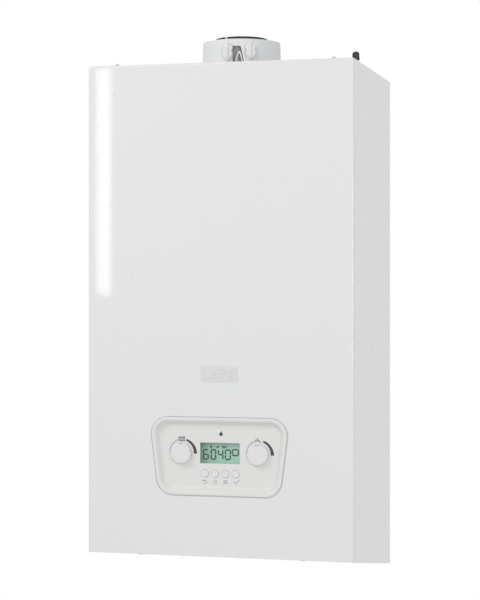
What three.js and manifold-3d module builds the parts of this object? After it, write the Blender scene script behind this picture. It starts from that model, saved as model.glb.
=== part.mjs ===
import * as THREE from "three";
import { mergeVertices } from "three/addons/utils/BufferGeometryUtils.js";
import Module from "manifold-3d";

const wasm = await Module();
wasm.setup();

// A wall-hung combination boiler, in millimetres, +Z up. It is seen from the front along +Y: the wall is
// the plane y = 0, the front of the case is at y = -CASE_DEPTH and +X is to the right.
// The part's origin is the middle of the wall bracket's wall face. The pieces below are measured from the
// level of the case's lower front edge, and one group at the end lowers them all by HANG_HEIGHT.

// ---- case ----
const CASE_WIDTH = 392;
const CASE_DEPTH = 285;
const CASE_HEIGHT = 702;
const HANG_HEIGHT = CASE_HEIGHT - 77; // the bracket's middle above the case's lower front edge
const SKIRT_DROP = 44.5; // how far the sides' lower edges fall from the front to the wall
const SHEET = 1.2; // painted sheet of the cover
const CORNER_RADIUS = 4.5; // rounded front edges of the cover
const TOP_FLANGE = 45; // depth of the cover's top return
const BOTTOM_LIP = 26; // depth of the cover's bottom return
const WALL_GAP = 1; // cover's rear edges to the wall
const SLIDE_GAP = 1.3; // cover to the frame it slides off
const SEAT_GAP = 0.3; // between pieces that are fixed to each other
const RUN_GAP = 0.2; // round a turning or sliding shaft
const PAST = 1; // a cutting tool's reach past what it cuts
const SINK = 0.1; // a joined lump's reach into what it is joined to

// ---- frame ----
const FRAME_SHEET = 1.5;
const FRAME_FLANGE = 18; // front return of a frame side
const PAN_DEPTH = 16; // the back panel stands this far off the wall
const BACK_PANEL_DROP = 30; // the back panel reaches this far below the case's front edge
const BRACKET_WIDTH = CASE_WIDTH - 72;
const BRACKET_HEIGHT = 50;
const BRACKET_SHEET = 2.5;
const BRACKET_REACH = 11; // wall to the front of the bracket's hook lip
const HOOK_LIP = 12; // height of that lip
const BRACKET_HOLE = 4;
const BRACKET_HOLE_SPACING = 65; // two holes each side of the middle
const BRACKET_HOLE_DROP = 8; // below the bracket's middle
const STUD_X = CASE_WIDTH / 2 - 35.2;
const STUD_BEHIND_FRONT = 28;
const STUD_RADIUS = 2;
const STUD_TOP = 5.5; // above the case
const STUD_HEAD = 2.7;
const STUD_HEAD_HEIGHT = 2;
const STUD_CHAMFER = 0.5;
const COVER_SCREW_X = CASE_WIDTH / 2 - 76;
const COVER_SCREW_RADIUS = 2;
const COVER_SCREW_HEAD = 4.5;
const COVER_SCREW_HEAD_HEIGHT = 2.4;
const COVER_SCREW_END = 2; // past the bottom plate

// ---- control panel ----
const PANEL_BOTTOM = 85.8;
const PANEL_HEIGHT = 113.3;
const PANEL_TOP_WIDTH = 208.4;
const PANEL_BOTTOM_WIDTH = 180.6;
const PANEL_RADIUS = 26;
const PANEL_GAP = 1.2; // cut-out to fascia
const RIM_PROUD = 1.2; // fascia rim in front of the case
const RIM_WIDTH = 5;
const RIM_SLOPE = 6.5; // width of the slope down to the flat
const RECESS = 6.5; // case front to the fascia's flat
const FASCIA_WALL = 2.5;
const BOX_RADIUS = 6; // corners of the fascia's plate and of the box
const BOX_WIDTH = 330; // control box behind the fascia
const BOX_BOTTOM = 40;
const BOX_TOP = 225;
const BOX_DEPTH = 70;
const BOX_WALL = 2.5;
const EAR_HEIGHT = 14; // ears that hold the box to the frame's sides
const EAR_DEPTH = 12;
const EAR_FORWARD = 10; // in front of the box's back
const EAR_INSET = 5; // from the box's lower and upper edges
const BOARD_INSET = 20; // main board's side edges inside the box's
const BOARD_EDGE = 15; // its lower and upper edges inside the box's
const BOARD_STANDOFF = 8;
const BOARD_POST = 3;
const BOARD_POST_INSET = 8;
const WINDOW_Z = 146.6;
const WINDOW_WIDTH = 58.3;
const WINDOW_HEIGHT = 29.5;
const WINDOW_LAP = 3; // the pane's edge behind the fascia
const WINDOW_PANE = 1.2;
const MODULE_INSET = 1; // display module's edge inside the pane's
const DISPLAY_BOARD_BACK = 16; // fascia flat to the display board's front
const BOARD = 1.6;
const KNOB_X = 56.5;
const KNOB_Z = 146.1;
const KNOB_RADIUS = 15;
const KNOB_HEIGHT = 7;
const KNOB_LIFT = 0.5; // knob above the fascia's flat
const KNOB_EDGE = 1.6; // rounding of the knob's front edge
const KNOB_SHAFT = 3;
const ENCODER_SIZE = 13;
const ENCODER_DEPTH = 7;
const ENCODER_FLOOR = 1;
const BUTTON_FIRST_X = -22.2;
const BUTTON_PITCH = 15.15;
const BUTTON_Z = 117.6;
const BUTTON_RADIUS = 5.4;
const BUTTON_PROUD = 0.9;
const BUTTON_TRAVEL = 1.2;
const BUTTON_GAP = 0.3;
const BUTTON_CHAMFER = 0.5;
const BUTTON_COLLAR = BUTTON_RADIUS + 1; // holds it behind the fascia
const BUTTON_COLLAR_THICKNESS = 1.2;
const BUTTON_STEM = 1.8;
const DISPLAY_BOARD_BELOW = 12; // board's lower edge below the buttons' middle
const DISPLAY_BOARD_ABOVE = 22; // its upper edge above the knobs' middle
const DISPLAY_BOARD_SIDE = 16; // its side edges past the knobs' middles
const DISPLAY_POST = 2.5;
const POST_INSET = 5;
const BADGE_Z = 259.8;
const BADGE_WIDTH = 55;
const BADGE_HEIGHT = 22;
const BADGE_THICKNESS = 1.2;
const BADGE_RADIUS = 1.5;

// ---- flue turret on top ----
const FLUE_BEHIND_FRONT = CASE_DEPTH / 2 - 14; // turret axis behind the case's front
const COLLAR_RIM_RADIUS = 57.4;
const COLLAR_BASE_RADIUS = 59.2;
const COLLAR_BORE = 51;
const COLLAR_TOP = 42.5; // above the case
const COLLAR_CHAMFER = 0.5;
const COLLAR_FLANGE = 8; // base flange past the collar
const COLLAR_FLANGE_THICKNESS = 3;
const FLUE_TUBE_OUTER = 33;
const FLUE_TUBE_BORE = 30;
const TUBE_SOCKET = 4; // the tube's lower end is this much wider
const TUBE_SOCKET_LENGTH = 12;
const TUBE_SOCKET_TAPER = 2;
const FLUE_TUBE_TOP = 44; // above the case
const SEAL_RADIUS = 39;
const SEAL_TOP = 48.6; // above the case
const SEAL_LENGTH = 30;
const SEAL_CHAMFER = 1.5;
const SEAL_LIP_CHAMFER = 1;
const PLUG_WIDTH = 16;
const PLUG_HEIGHT = 29;
const PLUG_DEPTH = 8;
const PLUG_LEFT_X = -5;
const PLUG_RIGHT_X = 30.4;
const PLUG_Z = 24; // above the case
const PLUG_SHANK = 3.5;
const PLUG_SHANK_LENGTH = 9;
const SEAT_PROUD = 2; // plug's seat in front of the collar's rim
const SEAT_INSET = 1; // seat's sides inside the plug's
const SEAT_ABOVE = 4; // seat's top above the shank
const SLOT_X = 11; // middle of the foot of the slot between the plugs
const SLOT_FOOT = 17.4; // its width at its foot
const SLOT_HEAD = 14.4; // its width at its top
const SLOT_LEAN = 5; // its top's shift to the left
const SLOT_TOP = 32; // above the case

// ---- combustion side ----
const EXCHANGER_Z = 0.8 * CASE_HEIGHT - 99.6;
const EXCHANGER_RADIUS = 0.15 * CASE_HEIGHT;
const EXCHANGER_WALL = 2.5;
const EXCHANGER_FLANGE = 6; // thickness of its front flange
const LUG_X = 60; // lugs on the drum's back, each side of the middle
const LUG_HALF_WIDTH = 10;
const LUG_HALF_HEIGHT = 20;
const EXCHANGER_FRONT = 50; // case front to the shell's front
const EXCHANGER_TO_WALL = 105; // the shell's back to the wall
const EXCHANGER_DEPTH = CASE_DEPTH - EXCHANGER_FRONT - EXCHANGER_TO_WALL;
const COIL_INSIDE_SHELL = 20; // the tube's middle inside the shell's radius
const COIL_RADIUS = EXCHANGER_RADIUS - COIL_INSIDE_SHELL;
const COIL_TUBE = 7;
const COIL_GAP = 4; // the least between two turns
const COIL_END_ROOM = 20; // the first and last turns' middles to the shell's ends
const COIL_LENGTH = EXCHANGER_DEPTH - 2 * COIL_END_ROOM;
const COIL_TURNS = Math.floor(COIL_LENGTH / (2 * COIL_TUBE + COIL_GAP));
const COIL_TAIL = 120; // the coil's ends reach this far from the middle
const DOOR_RADIUS = EXCHANGER_RADIUS + 7;
const DOOR_THICKNESS = 10;
const DUCT_WIDTH = 44;
const DUCT_DEPTH = 24;
const BURNER_RADIUS = 34;
const BURNER_LENGTH = 72;
const BURNER_WALL = 2;
const BURNER_SEAT = 3; // its depth in the door
const ELECTRODE_X = -52;
const ELECTRODE_CAP = [6, 12]; // radius and length of the cap in front of the door
const ELECTRODE_BODY = 3;
const ELECTRODE_PIN = 1.2;
const ELECTRODE_REACH = 20; // its body's end past the door
const ELECTRODE_PIN_REACH = 42;
const FAN_X = (CASE_WIDTH - 2) / 3 - 5;
const FAN_Z = CASE_HEIGHT - 80;
const FAN_RADIUS = 58;
const FAN_DEPTH = 48;
const FAN_WALL = 3;
const FAN_SHAFT = 4;
const SNOUT_INSET = 20; // fan's axis to its outlet's right side
const SNOUT_BEND = 34; // below the fan, where the duct turns
const BLADE = [2, 22]; // thickness and width of a fan blade
const BLADE_COUNT = 12;
const FAN_BEHIND_FRONT = 26;
const IMPELLER_RADIUS = 50;
const FAN_MOTOR_RADIUS = 30;
const FAN_MOTOR_DEPTH = 17;
const MIXER_RADIUS = 25;
const MIXER_WALL = 4;
const MIXER_WAIST = 7; // narrowing at its middle
const GAS_SPIGOT = 3; // a gas connection's wall round the pipe's radius
const GAS_SPIGOT_LENGTH = 8;
const MIXER_LENGTH = 38;
const SILENCER_TO_WALL = 111;
const SILENCER_DEPTH =
  CASE_DEPTH - FAN_BEHIND_FRONT - FAN_DEPTH - MIXER_LENGTH - SILENCER_TO_WALL;
const SILENCER_LEFT = 38; // fan's axis to the silencer's left side
const SILENCER_HALF_HEIGHT = 50;
const SILENCER_WALL = 2.5;
const SILENCER_EDGE = 12; // of the opening in its top
const GAS_PIPE = 7;
const INJECTOR_PIPE = 5;
const VALVE_BLOCK = [56, 50, 84];

// ---- water side ----
const VESSEL_SIDE_ROOM = 66; // left over in the case's width, both sides together
const VESSEL_WIDTH = CASE_WIDTH - VESSEL_SIDE_ROOM;
const VESSEL_HEIGHT = 330;
const VESSEL_THICKNESS = 68;
const VESSEL_X = 15; // middle
const VESSEL_TOP = CASE_HEIGHT - 15;
const VESSEL_RADIUS = 20;
const VESSEL_WALL = 1.5;
const CHARGE_VALVE_X = CASE_WIDTH / 2 - 44;
const CHARGE_VALVE_RADIUS = 3.6;
const CHARGE_VALVE_BORE = CHARGE_VALVE_RADIUS - 1;
const CHARGE_VALVE_BOSS = CHARGE_VALVE_RADIUS + 3;
const CHARGE_VALVE_TOP = 34; // above the case
const VALVE_CAP_RADIUS = 5.4;
const VALVE_CAP_TOP = 40.5; // above the case
const VALVE_CAP_HEIGHT = 12;
const VALVE_CAP_DOME = 3.5; // height of its domed end
const BLOCK_X = (CASE_WIDTH - 2) / 3; // flow block to the left, return block to the right
const BLOCK_WIDTH = 64;
const BLOCK_DEPTH = 70;
const BLOCK_BOTTOM = 20;
const BLOCK_TOP = 150;
const TAIL_BEHIND = 60; // connection tails in front of the wall
const TAIL_SPACING = BLOCK_X / 2;
const TAIL_RADIUS = 11;
const TAIL_NUT = 15;
const TAIL_NUT_HEIGHT = 14;
const TAIL_END = -30;
const PIPE_RADIUS = 9;
const PUMP_X = CASE_WIDTH / 2 - 88;
const PUMP_BELOW = 99; // its middle under the drum
const PUMP_Z = EXCHANGER_Z - EXCHANGER_RADIUS - PUMP_BELOW;
const PUMP_RADIUS = 42;
const PUMP_DEPTH = 45;
const PUMP_MOTOR_RADIUS = 37;
const PUMP_BEHIND = 150; // pump body's front to the wall
const PUMP_MOTOR_FRONT = 85; // its motor's front behind the case front
const PUMP_MOTOR_DEPTH = CASE_DEPTH - PUMP_BEHIND - PUMP_MOTOR_FRONT;
const PUMP_WALL = 4;
const PLATE_PACK_HEIGHT = 55;
const PLATE_WALL = 5; // plates round the pack's water space
const PLATE_PORT = 4; // its ports into the two blocks
const TRAP_X = -30;
const TRAP_RADIUS = 24;
const TRAP_BOTTOM = 215;

// ---- places worked out from them ----
const FRONT_Y = -CASE_DEPTH;
const FASCIA_FLAT_Y = FRONT_Y + RECESS;
const FASCIA_BACK_Y = FASCIA_FLAT_Y + FASCIA_WALL;
const DISPLAY_BOARD_Y = FASCIA_FLAT_Y + DISPLAY_BOARD_BACK;
const BOX_FRONT_Y = FASCIA_BACK_Y + SEAT_GAP;
const BOX_BACK_Y = BOX_FRONT_Y + BOX_DEPTH;
const FRAME_HALF = CASE_WIDTH / 2 - SHEET - SLIDE_GAP;
const TOP_PLATE_Z = CASE_HEIGHT - SHEET - SEAT_GAP; // upper face of the top plate
const TOP_PLATE_LOW_Z = TOP_PLATE_Z - FRAME_SHEET;
const BOTTOM_PLATE_Z = SHEET + SEAT_GAP; // lower face of the bottom plate
const BOTTOM_PLATE_TOP_Z = BOTTOM_PLATE_Z + FRAME_SHEET;
const FRAME_FRONT_Y = FRONT_Y + SHEET + SLIDE_GAP;
const PAN_Y = -PAN_DEPTH; // front face of the back panel
const FLUE_Y = FRONT_Y + FLUE_BEHIND_FRONT;
const EXCHANGER_Y = FRONT_Y + EXCHANGER_FRONT;
const EXCHANGER_BACK_Y = EXCHANGER_Y + EXCHANGER_DEPTH;
const FAN_Y = FRONT_Y + FAN_BEHIND_FRONT;
const FAN_BACK_Y = FAN_Y + FAN_DEPTH;
const SNOUT_RIGHT_X = FAN_X - SNOUT_INSET;
const MIXER_BACK_Y = FAN_BACK_Y + SEAT_GAP + MIXER_LENGTH;
const MIXER_MIDDLE_Y = MIXER_BACK_Y - MIXER_LENGTH / 2;
const VESSEL_BACK_Y = PAN_Y - SEAT_GAP;
const VESSEL_FRONT_Y = VESSEL_BACK_Y - VESSEL_THICKNESS;
const VESSEL_MIDDLE_Y = (VESSEL_BACK_Y + VESSEL_FRONT_Y) / 2;
const TAIL_Y = -TAIL_BEHIND;
const BLOCK_FRONT_Y = TAIL_Y - BLOCK_DEPTH / 2;
const COIL_START_Y = EXCHANGER_Y + COIL_END_ROOM;
const COIL_END_Y = COIL_START_Y + COIL_LENGTH;
const COIL_LOW_Z = EXCHANGER_Z - COIL_RADIUS;
const PUMP_Y = -PUMP_BEHIND;
const PUMP_BACK_Y = PUMP_Y + PUMP_DEPTH;
const ELECTRODE_Z = EXCHANGER_Z + 30;
const SPIGOT_TOP = EXCHANGER_Z + EXCHANGER_RADIUS + 20;
const SPIGOT_RADIUS = FLUE_TUBE_OUTER + TUBE_SOCKET;
const TRAP_Y = FLUE_Y - 2;
const DRAIN_LOW = EXCHANGER_Z - EXCHANGER_RADIUS - 8;
const TRAP_END = -14;
const PUMP_LEG_X = BLOCK_X - 6;
const GAS_RUN_Z = BLOCK_TOP - 18;
const GAS_RUN_Y = BLOCK_FRONT_Y - 16;

// ---- finishes ----
const finish = (color, roughness, metalness) =>
  new THREE.MeshStandardMaterial({ color, roughness, metalness });
const caseWhite = finish(0xeeeeee, 0.25, 0.1);
const trimWhite = finish(0xe8e8e6, 0.4, 0);
const turretWhite = finish(0xe2e2e0, 0.45, 0);
const badgeSilver = finish(0xc9c9c9, 0.3, 0.9);
const glassGreen = finish(0xa8cdb5, 0.1, 0);
const sealBlack = finish(0x1b1b1b, 0.7, 0);
const zincSheet = finish(0xb4b8ba, 0.45, 0.8);
const steelBright = finish(0xc4c6c8, 0.3, 0.9);
const castAluminium = finish(0x9fa3a6, 0.55, 0.7);
const brassYellow = finish(0xb08d4a, 0.4, 0.9);
const copperPipe = finish(0xb5714a, 0.35, 0.9);
const boxGrey = finish(0x8a8d90, 0.6, 0);
const boardGreen = finish(0x2f6b45, 0.6, 0);
const vesselRed = finish(0xa2382e, 0.5, 0.2);
const compositeBlack = finish(0x2b2c2e, 0.6, 0);
const knobRed = finish(0xb0302a, 0.5, 0);

// ---- solids ----
const toSolid = (geometry) => {
  const bare = geometry.clone();
  bare.deleteAttribute("normal");
  bare.deleteAttribute("uv");
  const merged = mergeVertices(bare, 1e-4);
  const index = merged.index.array;
  const outward = [];
  const inward = [];
  for (let i = 0; i < index.length; i += 3) {
    const [a, b, c] = index.slice(i, i + 3);
    if (a === b || b === c || c === a) continue; // a sliver on a turned piece's axis
    outward.push(a, b, c);
    inward.push(a, c, b);
  }
  const vertProperties = new Float32Array(merged.attributes.position.array);
  const build = (faces) =>
    new wasm.Manifold(
      new wasm.Mesh({ numProp: 3, vertProperties, triVerts: new Uint32Array(faces) }),
    );
  const solid = build(outward);
  return solid.volume() > 0 ? solid : build(inward);
};

const toGeometry = (solid) => {
  const mesh = solid.getMesh();
  const geometry = new THREE.BufferGeometry();
  geometry.setAttribute("position", new THREE.BufferAttribute(mesh.vertProperties, 3));
  geometry.setIndex(new THREE.BufferAttribute(mesh.triVerts, 1));
  return geometry;
};

const join = (...solids) => solids.reduce((all, next) => all.add(next));
const cut = (solid, ...tools) => tools.reduce((left, tool) => left.subtract(tool), solid);

// A box from its lowest to its highest corner.
const block = (x0, x1, y0, y1, z0, z1) =>
  toSolid(
    new THREE.BoxGeometry(x1 - x0, y1 - y0, z1 - z0)
      .translate((x0 + x1) / 2, (y0 + y1) / 2, (z0 + z1) / 2),
  );

// Round bars along each axis, from one end to the other.
const barY = (radius, x, z, y0, y1, sides = 24, radiusEnd = radius) =>
  toSolid(
    new THREE.CylinderGeometry(radiusEnd, radius, y1 - y0, sides).translate(x, (y0 + y1) / 2, z),
  );
const barZ = (radius, x, y, z0, z1, sides = 24, radiusTop = radius) =>
  toSolid(
    new THREE.CylinderGeometry(radiusTop, radius, z1 - z0, sides)
      .rotateX(Math.PI / 2)
      .translate(x, y, (z0 + z1) / 2),
  );
const barX = (radius, y, z, x0, x1, sides = 24) =>
  toSolid(
    new THREE.CylinderGeometry(radius, radius, x1 - x0, sides)
      .rotateZ(Math.PI / 2)
      .translate((x0 + x1) / 2, y, z),
  );

// A turned piece: [radius, height] points from the axis back to the axis, or a closed ring section.
const turnedZ = (profile, x, y, sides = 32) =>
  toSolid(
    new THREE.LatheGeometry(profile.map(([r, z]) => new THREE.Vector2(r, z)), sides)
      .rotateX(Math.PI / 2)
      .translate(x, y, 0),
  );
// The same along Y, its profile heights being y.
const turnedY = (profile, x, z, sides = 32) =>
  toSolid(
    new THREE.LatheGeometry(profile.map(([r, y]) => new THREE.Vector2(r, y)), sides)
      .translate(x, 0, z),
  );

// A flat outline of [x, z] points, as a slab from y0 to y1.
const slabY = (outline, y0, y1) =>
  toSolid(
    new THREE.ExtrudeGeometry(new THREE.Shape(outline.map(([x, z]) => new THREE.Vector2(x, z))), {
      depth: y1 - y0,
      bevelEnabled: false,
    })
      .rotateX(Math.PI / 2)
      .translate(0, y1, 0),
  );
// A flat outline of [y, z] points, as a bar from x0 to x1.
const slabX = (outline, x0, x1) =>
  toSolid(
    new THREE.ExtrudeGeometry(new THREE.Shape(outline.map(([y, z]) => new THREE.Vector2(y, z))), {
      depth: x1 - x0,
      bevelEnabled: false,
    })
      .rotateY(Math.PI / 2)
      .rotateX(Math.PI / 2)
      .translate(x0, 0, 0),
  );
// A flat outline of [x, y] points, as a slab from z0 to z1.
const slabZ = (outline, z0, z1) =>
  toSolid(
    new THREE.ExtrudeGeometry(new THREE.Shape(outline.map(([x, y]) => new THREE.Vector2(x, y))), {
      depth: z1 - z0,
      bevelEnabled: false,
    }).translate(0, 0, z0),
  );

// Corners of an outline, each rounded to its radius by an arc of a few steps.
const rounded = (corners, radii, steps = 5) => {
  const points = [];
  corners.forEach((corner, i) => {
    const radius = Array.isArray(radii) ? radii[i] : radii;
    const here = new THREE.Vector2(...corner);
    const before = new THREE.Vector2(...corners[(i + corners.length - 1) % corners.length]);
    const after = new THREE.Vector2(...corners[(i + 1) % corners.length]);
    const back = before.sub(here).normalize();
    const ahead = after.sub(here).normalize();
    if (!radius) {
      points.push(corner);
      return;
    }
    const half = Math.acos(back.dot(ahead)) / 2;
    const reach = radius / Math.tan(half);
    const start = here.clone().addScaledVector(back, reach);
    const end = here.clone().addScaledVector(ahead, reach);
    const middle = back.clone().add(ahead).normalize();
    const centre = here.clone().addScaledVector(middle, radius / Math.sin(half));
    const first = start.clone().sub(centre);
    const last = end.clone().sub(centre);
    const sweep = Math.atan2(first.cross(last), first.dot(last));
    for (let k = 0; k <= steps; k += 1) {
      const point = start.clone().rotateAround(centre, (sweep * k) / steps);
      points.push([point.x, point.y]);
    }
  });
  return points;
};

const rectangle = (x0, x1, z0, z1) => [[x0, z0], [x1, z0], [x1, z1], [x0, z1]];

// Corners of an outline moved inwards by one distance.
const inset = (corners, distance) =>
  corners.map((corner, i) => {
    const here = new THREE.Vector2(...corner);
    const before = new THREE.Vector2(...corners[(i + corners.length - 1) % corners.length]);
    const after = new THREE.Vector2(...corners[(i + 1) % corners.length]);
    const back = before.sub(here).normalize();
    const ahead = after.sub(here).normalize();
    const half = Math.acos(back.dot(ahead)) / 2;
    const moved = here.addScaledVector(back.add(ahead).normalize(), distance / Math.sin(half));
    return [moved.x, moved.y];
  });

// A solid between two outlines of [x, z] points, one at y0 and one at y1.
const loftY = (outline0, y0, outline1, y1) => {
  const count = outline0.length;
  const points = [
    ...outline0.map(([x, z]) => [x, y0, z]),
    ...outline1.map(([x, z]) => [x, y1, z]),
  ];
  const faces = [];
  for (let i = 0; i < count; i += 1) {
    const next = (i + 1) % count;
    faces.push(i, next, count + next, i, count + next, count + i);
  }
  for (let i = 1; i < count - 1; i += 1) {
    faces.push(0, i + 1, i, count, count + i, count + i + 1);
  }
  const geometry = new THREE.BufferGeometry();
  geometry.setAttribute("position", new THREE.Float32BufferAttribute(points.flat(), 3));
  geometry.setIndex(faces);
  return toSolid(geometry);
};

// A round pipe through points, its bends smoothed.
const pipe = (points, radius, sides = 8, stepsPerLeg = 3) => {
  const path = new THREE.CurvePath();
  const at = points.map((p) => new THREE.Vector3(...p));
  let from = at[0];
  for (let i = 1; i < at.length - 1; i += 1) {
    const bend = Math.min(3 * radius, at[i].distanceTo(at[i - 1]) / 2, at[i].distanceTo(at[i + 1]) / 2);
    const enter = at[i].clone().add(at[i - 1].clone().sub(at[i]).setLength(bend));
    const leave = at[i].clone().add(at[i + 1].clone().sub(at[i]).setLength(bend));
    path.add(new THREE.LineCurve3(from, enter));
    path.add(new THREE.QuadraticBezierCurve3(enter, at[i].clone(), leave));
    from = leave;
  }
  path.add(new THREE.LineCurve3(from, at[at.length - 1]));
  return tubeAlong(path, radius, sides, stepsPerLeg * path.curves.length);
};

const tubeAlong = (path, radius, sides, steps) => {
  const section = new THREE.Shape(
    Array.from({ length: sides }, (_, i) => {
      const angle = (2 * Math.PI * i) / sides;
      return new THREE.Vector2(radius * Math.cos(angle), radius * Math.sin(angle));
    }),
  );
  return toSolid(
    new THREE.ExtrudeGeometry(section, { steps, bevelEnabled: false, extrudePath: path }),
  );
};

const part = (name, solid, material) => {
  const mesh = new THREE.Mesh(toGeometry(solid), material);
  mesh.name = name;
  return mesh;
};

// ---- case ----
const CASE_LEFT = -CASE_WIDTH / 2;
const CASE_RIGHT = CASE_WIDTH / 2;
const panelCorners = [
  [-PANEL_BOTTOM_WIDTH / 2, PANEL_BOTTOM],
  [PANEL_BOTTOM_WIDTH / 2, PANEL_BOTTOM],
  [PANEL_TOP_WIDTH / 2, PANEL_BOTTOM + PANEL_HEIGHT],
  [-PANEL_TOP_WIDTH / 2, PANEL_BOTTOM + PANEL_HEIGHT],
];
const panelOutline = (inward) => rounded(inset(panelCorners, inward), PANEL_RADIUS - inward);

// The case's outer form, its lower edge falling by `drop` on the way to the wall. Moved in by the sheet's
// thickness, with its underside level, it is the hollow inside.
const caseForm = (inward, low, drop) => {
  const front = FRONT_Y + inward;
  const back = -WALL_GAP;
  const left = CASE_LEFT + inward;
  const right = CASE_RIGHT - inward;
  const top = CASE_HEIGHT - inward;
  const radius = CORNER_RADIUS - inward;
  const plan = rounded(
    [[left, front], [right, front], [right, back], [left, back]],
    [radius, radius, 0, 0],
  );
  const side = rounded(
    [[front, low], [back, low - drop], [back, top], [front, top]],
    [0, 0, 0, radius],
  );
  const face = rounded(
    rectangle(left, right, low - drop, top),
    [0, 0, radius, radius],
  );
  return slabZ(plan, low - drop, top)
    .intersect(slabX(side, left, right))
    .intersect(slabY(face, front, back));
};

// One painted sheet: front, both sides, a top return with two open notches for the studs and a bottom
// lip with two holes for its screws.
const frontCover = () => {
  const hollow = join(
    caseForm(SHEET, -SKIRT_DROP - PAST, 0).subtract(
      block(CASE_LEFT, CASE_RIGHT, FRONT_Y, FRONT_Y + BOTTOM_LIP, 0, SHEET),
    ),
    block(
      CASE_LEFT + SHEET, CASE_RIGHT - SHEET, FRONT_Y + TOP_FLANGE, 0,
      CASE_HEIGHT / 2, CASE_HEIGHT + PAST,
    ),
    block(
      CASE_LEFT + SHEET, CASE_RIGHT - SHEET, FRONT_Y + BOTTOM_LIP, 0,
      -SKIRT_DROP - PAST, CASE_HEIGHT / 2,
    ),
  );
  const notch = (x) =>
    block(
      x - STUD_HEAD - SLIDE_GAP, x + STUD_HEAD + SLIDE_GAP,
      FRONT_Y + STUD_BEHIND_FRONT - STUD_HEAD - SLIDE_GAP, 0,
      CASE_HEIGHT - TOP_FLANGE / 2, CASE_HEIGHT + PAST,
    );
  const screwHole = (x) =>
    barZ(COVER_SCREW_RADIUS + RUN_GAP, x, FRONT_Y + BOTTOM_LIP / 2, -PAST, SHEET + PAST, 12);
  return cut(
    caseForm(0, 0, SKIRT_DROP),
    hollow,
    slabY(panelOutline(0), FRONT_Y - PAST, FRONT_Y + SHEET + PAST),
    notch(-STUD_X),
    notch(STUD_X),
    screwHole(-COVER_SCREW_X),
    screwHole(COVER_SCREW_X),
  );
};

const badgePlate = () =>
  slabY(
    rounded(
      rectangle(
        -BADGE_WIDTH / 2, BADGE_WIDTH / 2,
        BADGE_Z - BADGE_HEIGHT / 2, BADGE_Z + BADGE_HEIGHT / 2,
      ),
      BADGE_RADIUS,
      2,
    ),
    FRONT_Y - BADGE_THICKNESS,
    FRONT_Y,
  );

// A pan head under the lip and a shank up into the bottom plate's notch.
const coverScrew = (x) => {
  const y = FRONT_Y + BOTTOM_LIP / 2;
  return join(
    barZ(COVER_SCREW_HEAD, x, y, -COVER_SCREW_HEAD_HEIGHT, 0, 16),
    barZ(COVER_SCREW_RADIUS, x, y, -SINK, BOTTOM_PLATE_TOP_Z + COVER_SCREW_END, 12),
  );
};

// ---- frame ----
const wallBracket = () => {
  const half = BRACKET_HEIGHT / 2;
  const top = HANG_HEIGHT + half;
  const rail = slabX(
    [
      [0, HANG_HEIGHT - half],
      [0, top],
      [-BRACKET_REACH + BRACKET_SHEET, top],
      [-BRACKET_REACH + BRACKET_SHEET, top + HOOK_LIP],
      [-BRACKET_REACH, top + HOOK_LIP],
      [-BRACKET_REACH, top - BRACKET_SHEET],
      [-BRACKET_SHEET, top - BRACKET_SHEET],
      [-BRACKET_SHEET, HANG_HEIGHT - half],
    ],
    -BRACKET_WIDTH / 2,
    BRACKET_WIDTH / 2,
  );
  const hole = (x) => barY(
      BRACKET_HOLE, x, HANG_HEIGHT - BRACKET_HOLE_DROP, -BRACKET_SHEET - PAST, PAST, 12,
    );
  return cut(rail, ...[-2, -1, 1, 2].map((k) => hole(k * BRACKET_HOLE_SPACING)));
};

// A shallow pan, open to the wall, with a hook over the bracket's lip.
const backPanel = () => {
  const low = -BACK_PANEL_DROP;
  const high = TOP_PLATE_LOW_Z - SEAT_GAP;
  const pan = cut(
    block(-FRAME_HALF, FRAME_HALF, PAN_Y, -WALL_GAP, low, high),
    block(
      -FRAME_HALF + FRAME_SHEET, FRAME_HALF - FRAME_SHEET, PAN_Y + FRAME_SHEET, PAST,
      low + FRAME_SHEET, high - FRAME_SHEET,
    ),
  );
  const lipTop = HANG_HEIGHT + BRACKET_HEIGHT / 2 + HOOK_LIP + SEAT_GAP;
  const lipBack = -BRACKET_REACH + BRACKET_SHEET + SEAT_GAP;
  const hook = slabX(
    [
      [PAN_Y + FRAME_SHEET / 2, lipTop],
      [lipBack, lipTop],
      [lipBack, lipTop - HOOK_LIP + BRACKET_SHEET],
      [lipBack + BRACKET_SHEET, lipTop - HOOK_LIP + BRACKET_SHEET],
      [lipBack + BRACKET_SHEET, lipTop + BRACKET_SHEET],
      [PAN_Y + FRAME_SHEET / 2, lipTop + BRACKET_SHEET],
    ],
    -BRACKET_WIDTH / 2,
    BRACKET_WIDTH / 2,
  );
  return join(pan, hook);
};

// A folded side: web along the cover's side, a return at its front.
const frameSide = (sign) => {
  const low = BOTTOM_PLATE_TOP_Z + SEAT_GAP;
  const high = TOP_PLATE_LOW_Z - SEAT_GAP;
  const outer = sign * FRAME_HALF;
  const inner = sign * (FRAME_HALF - FRAME_SHEET);
  const lip = sign * (FRAME_HALF - FRAME_FLANGE);
  return slabZ(
    [
      [outer, FRAME_FRONT_Y],
      [outer, PAN_Y - SEAT_GAP],
      [inner, PAN_Y - SEAT_GAP],
      [inner, FRAME_FRONT_Y + FRAME_SHEET],
      [lip, FRAME_FRONT_Y + FRAME_SHEET],
      [lip, FRAME_FRONT_Y],
    ],
    low,
    high,
  );
};

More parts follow.
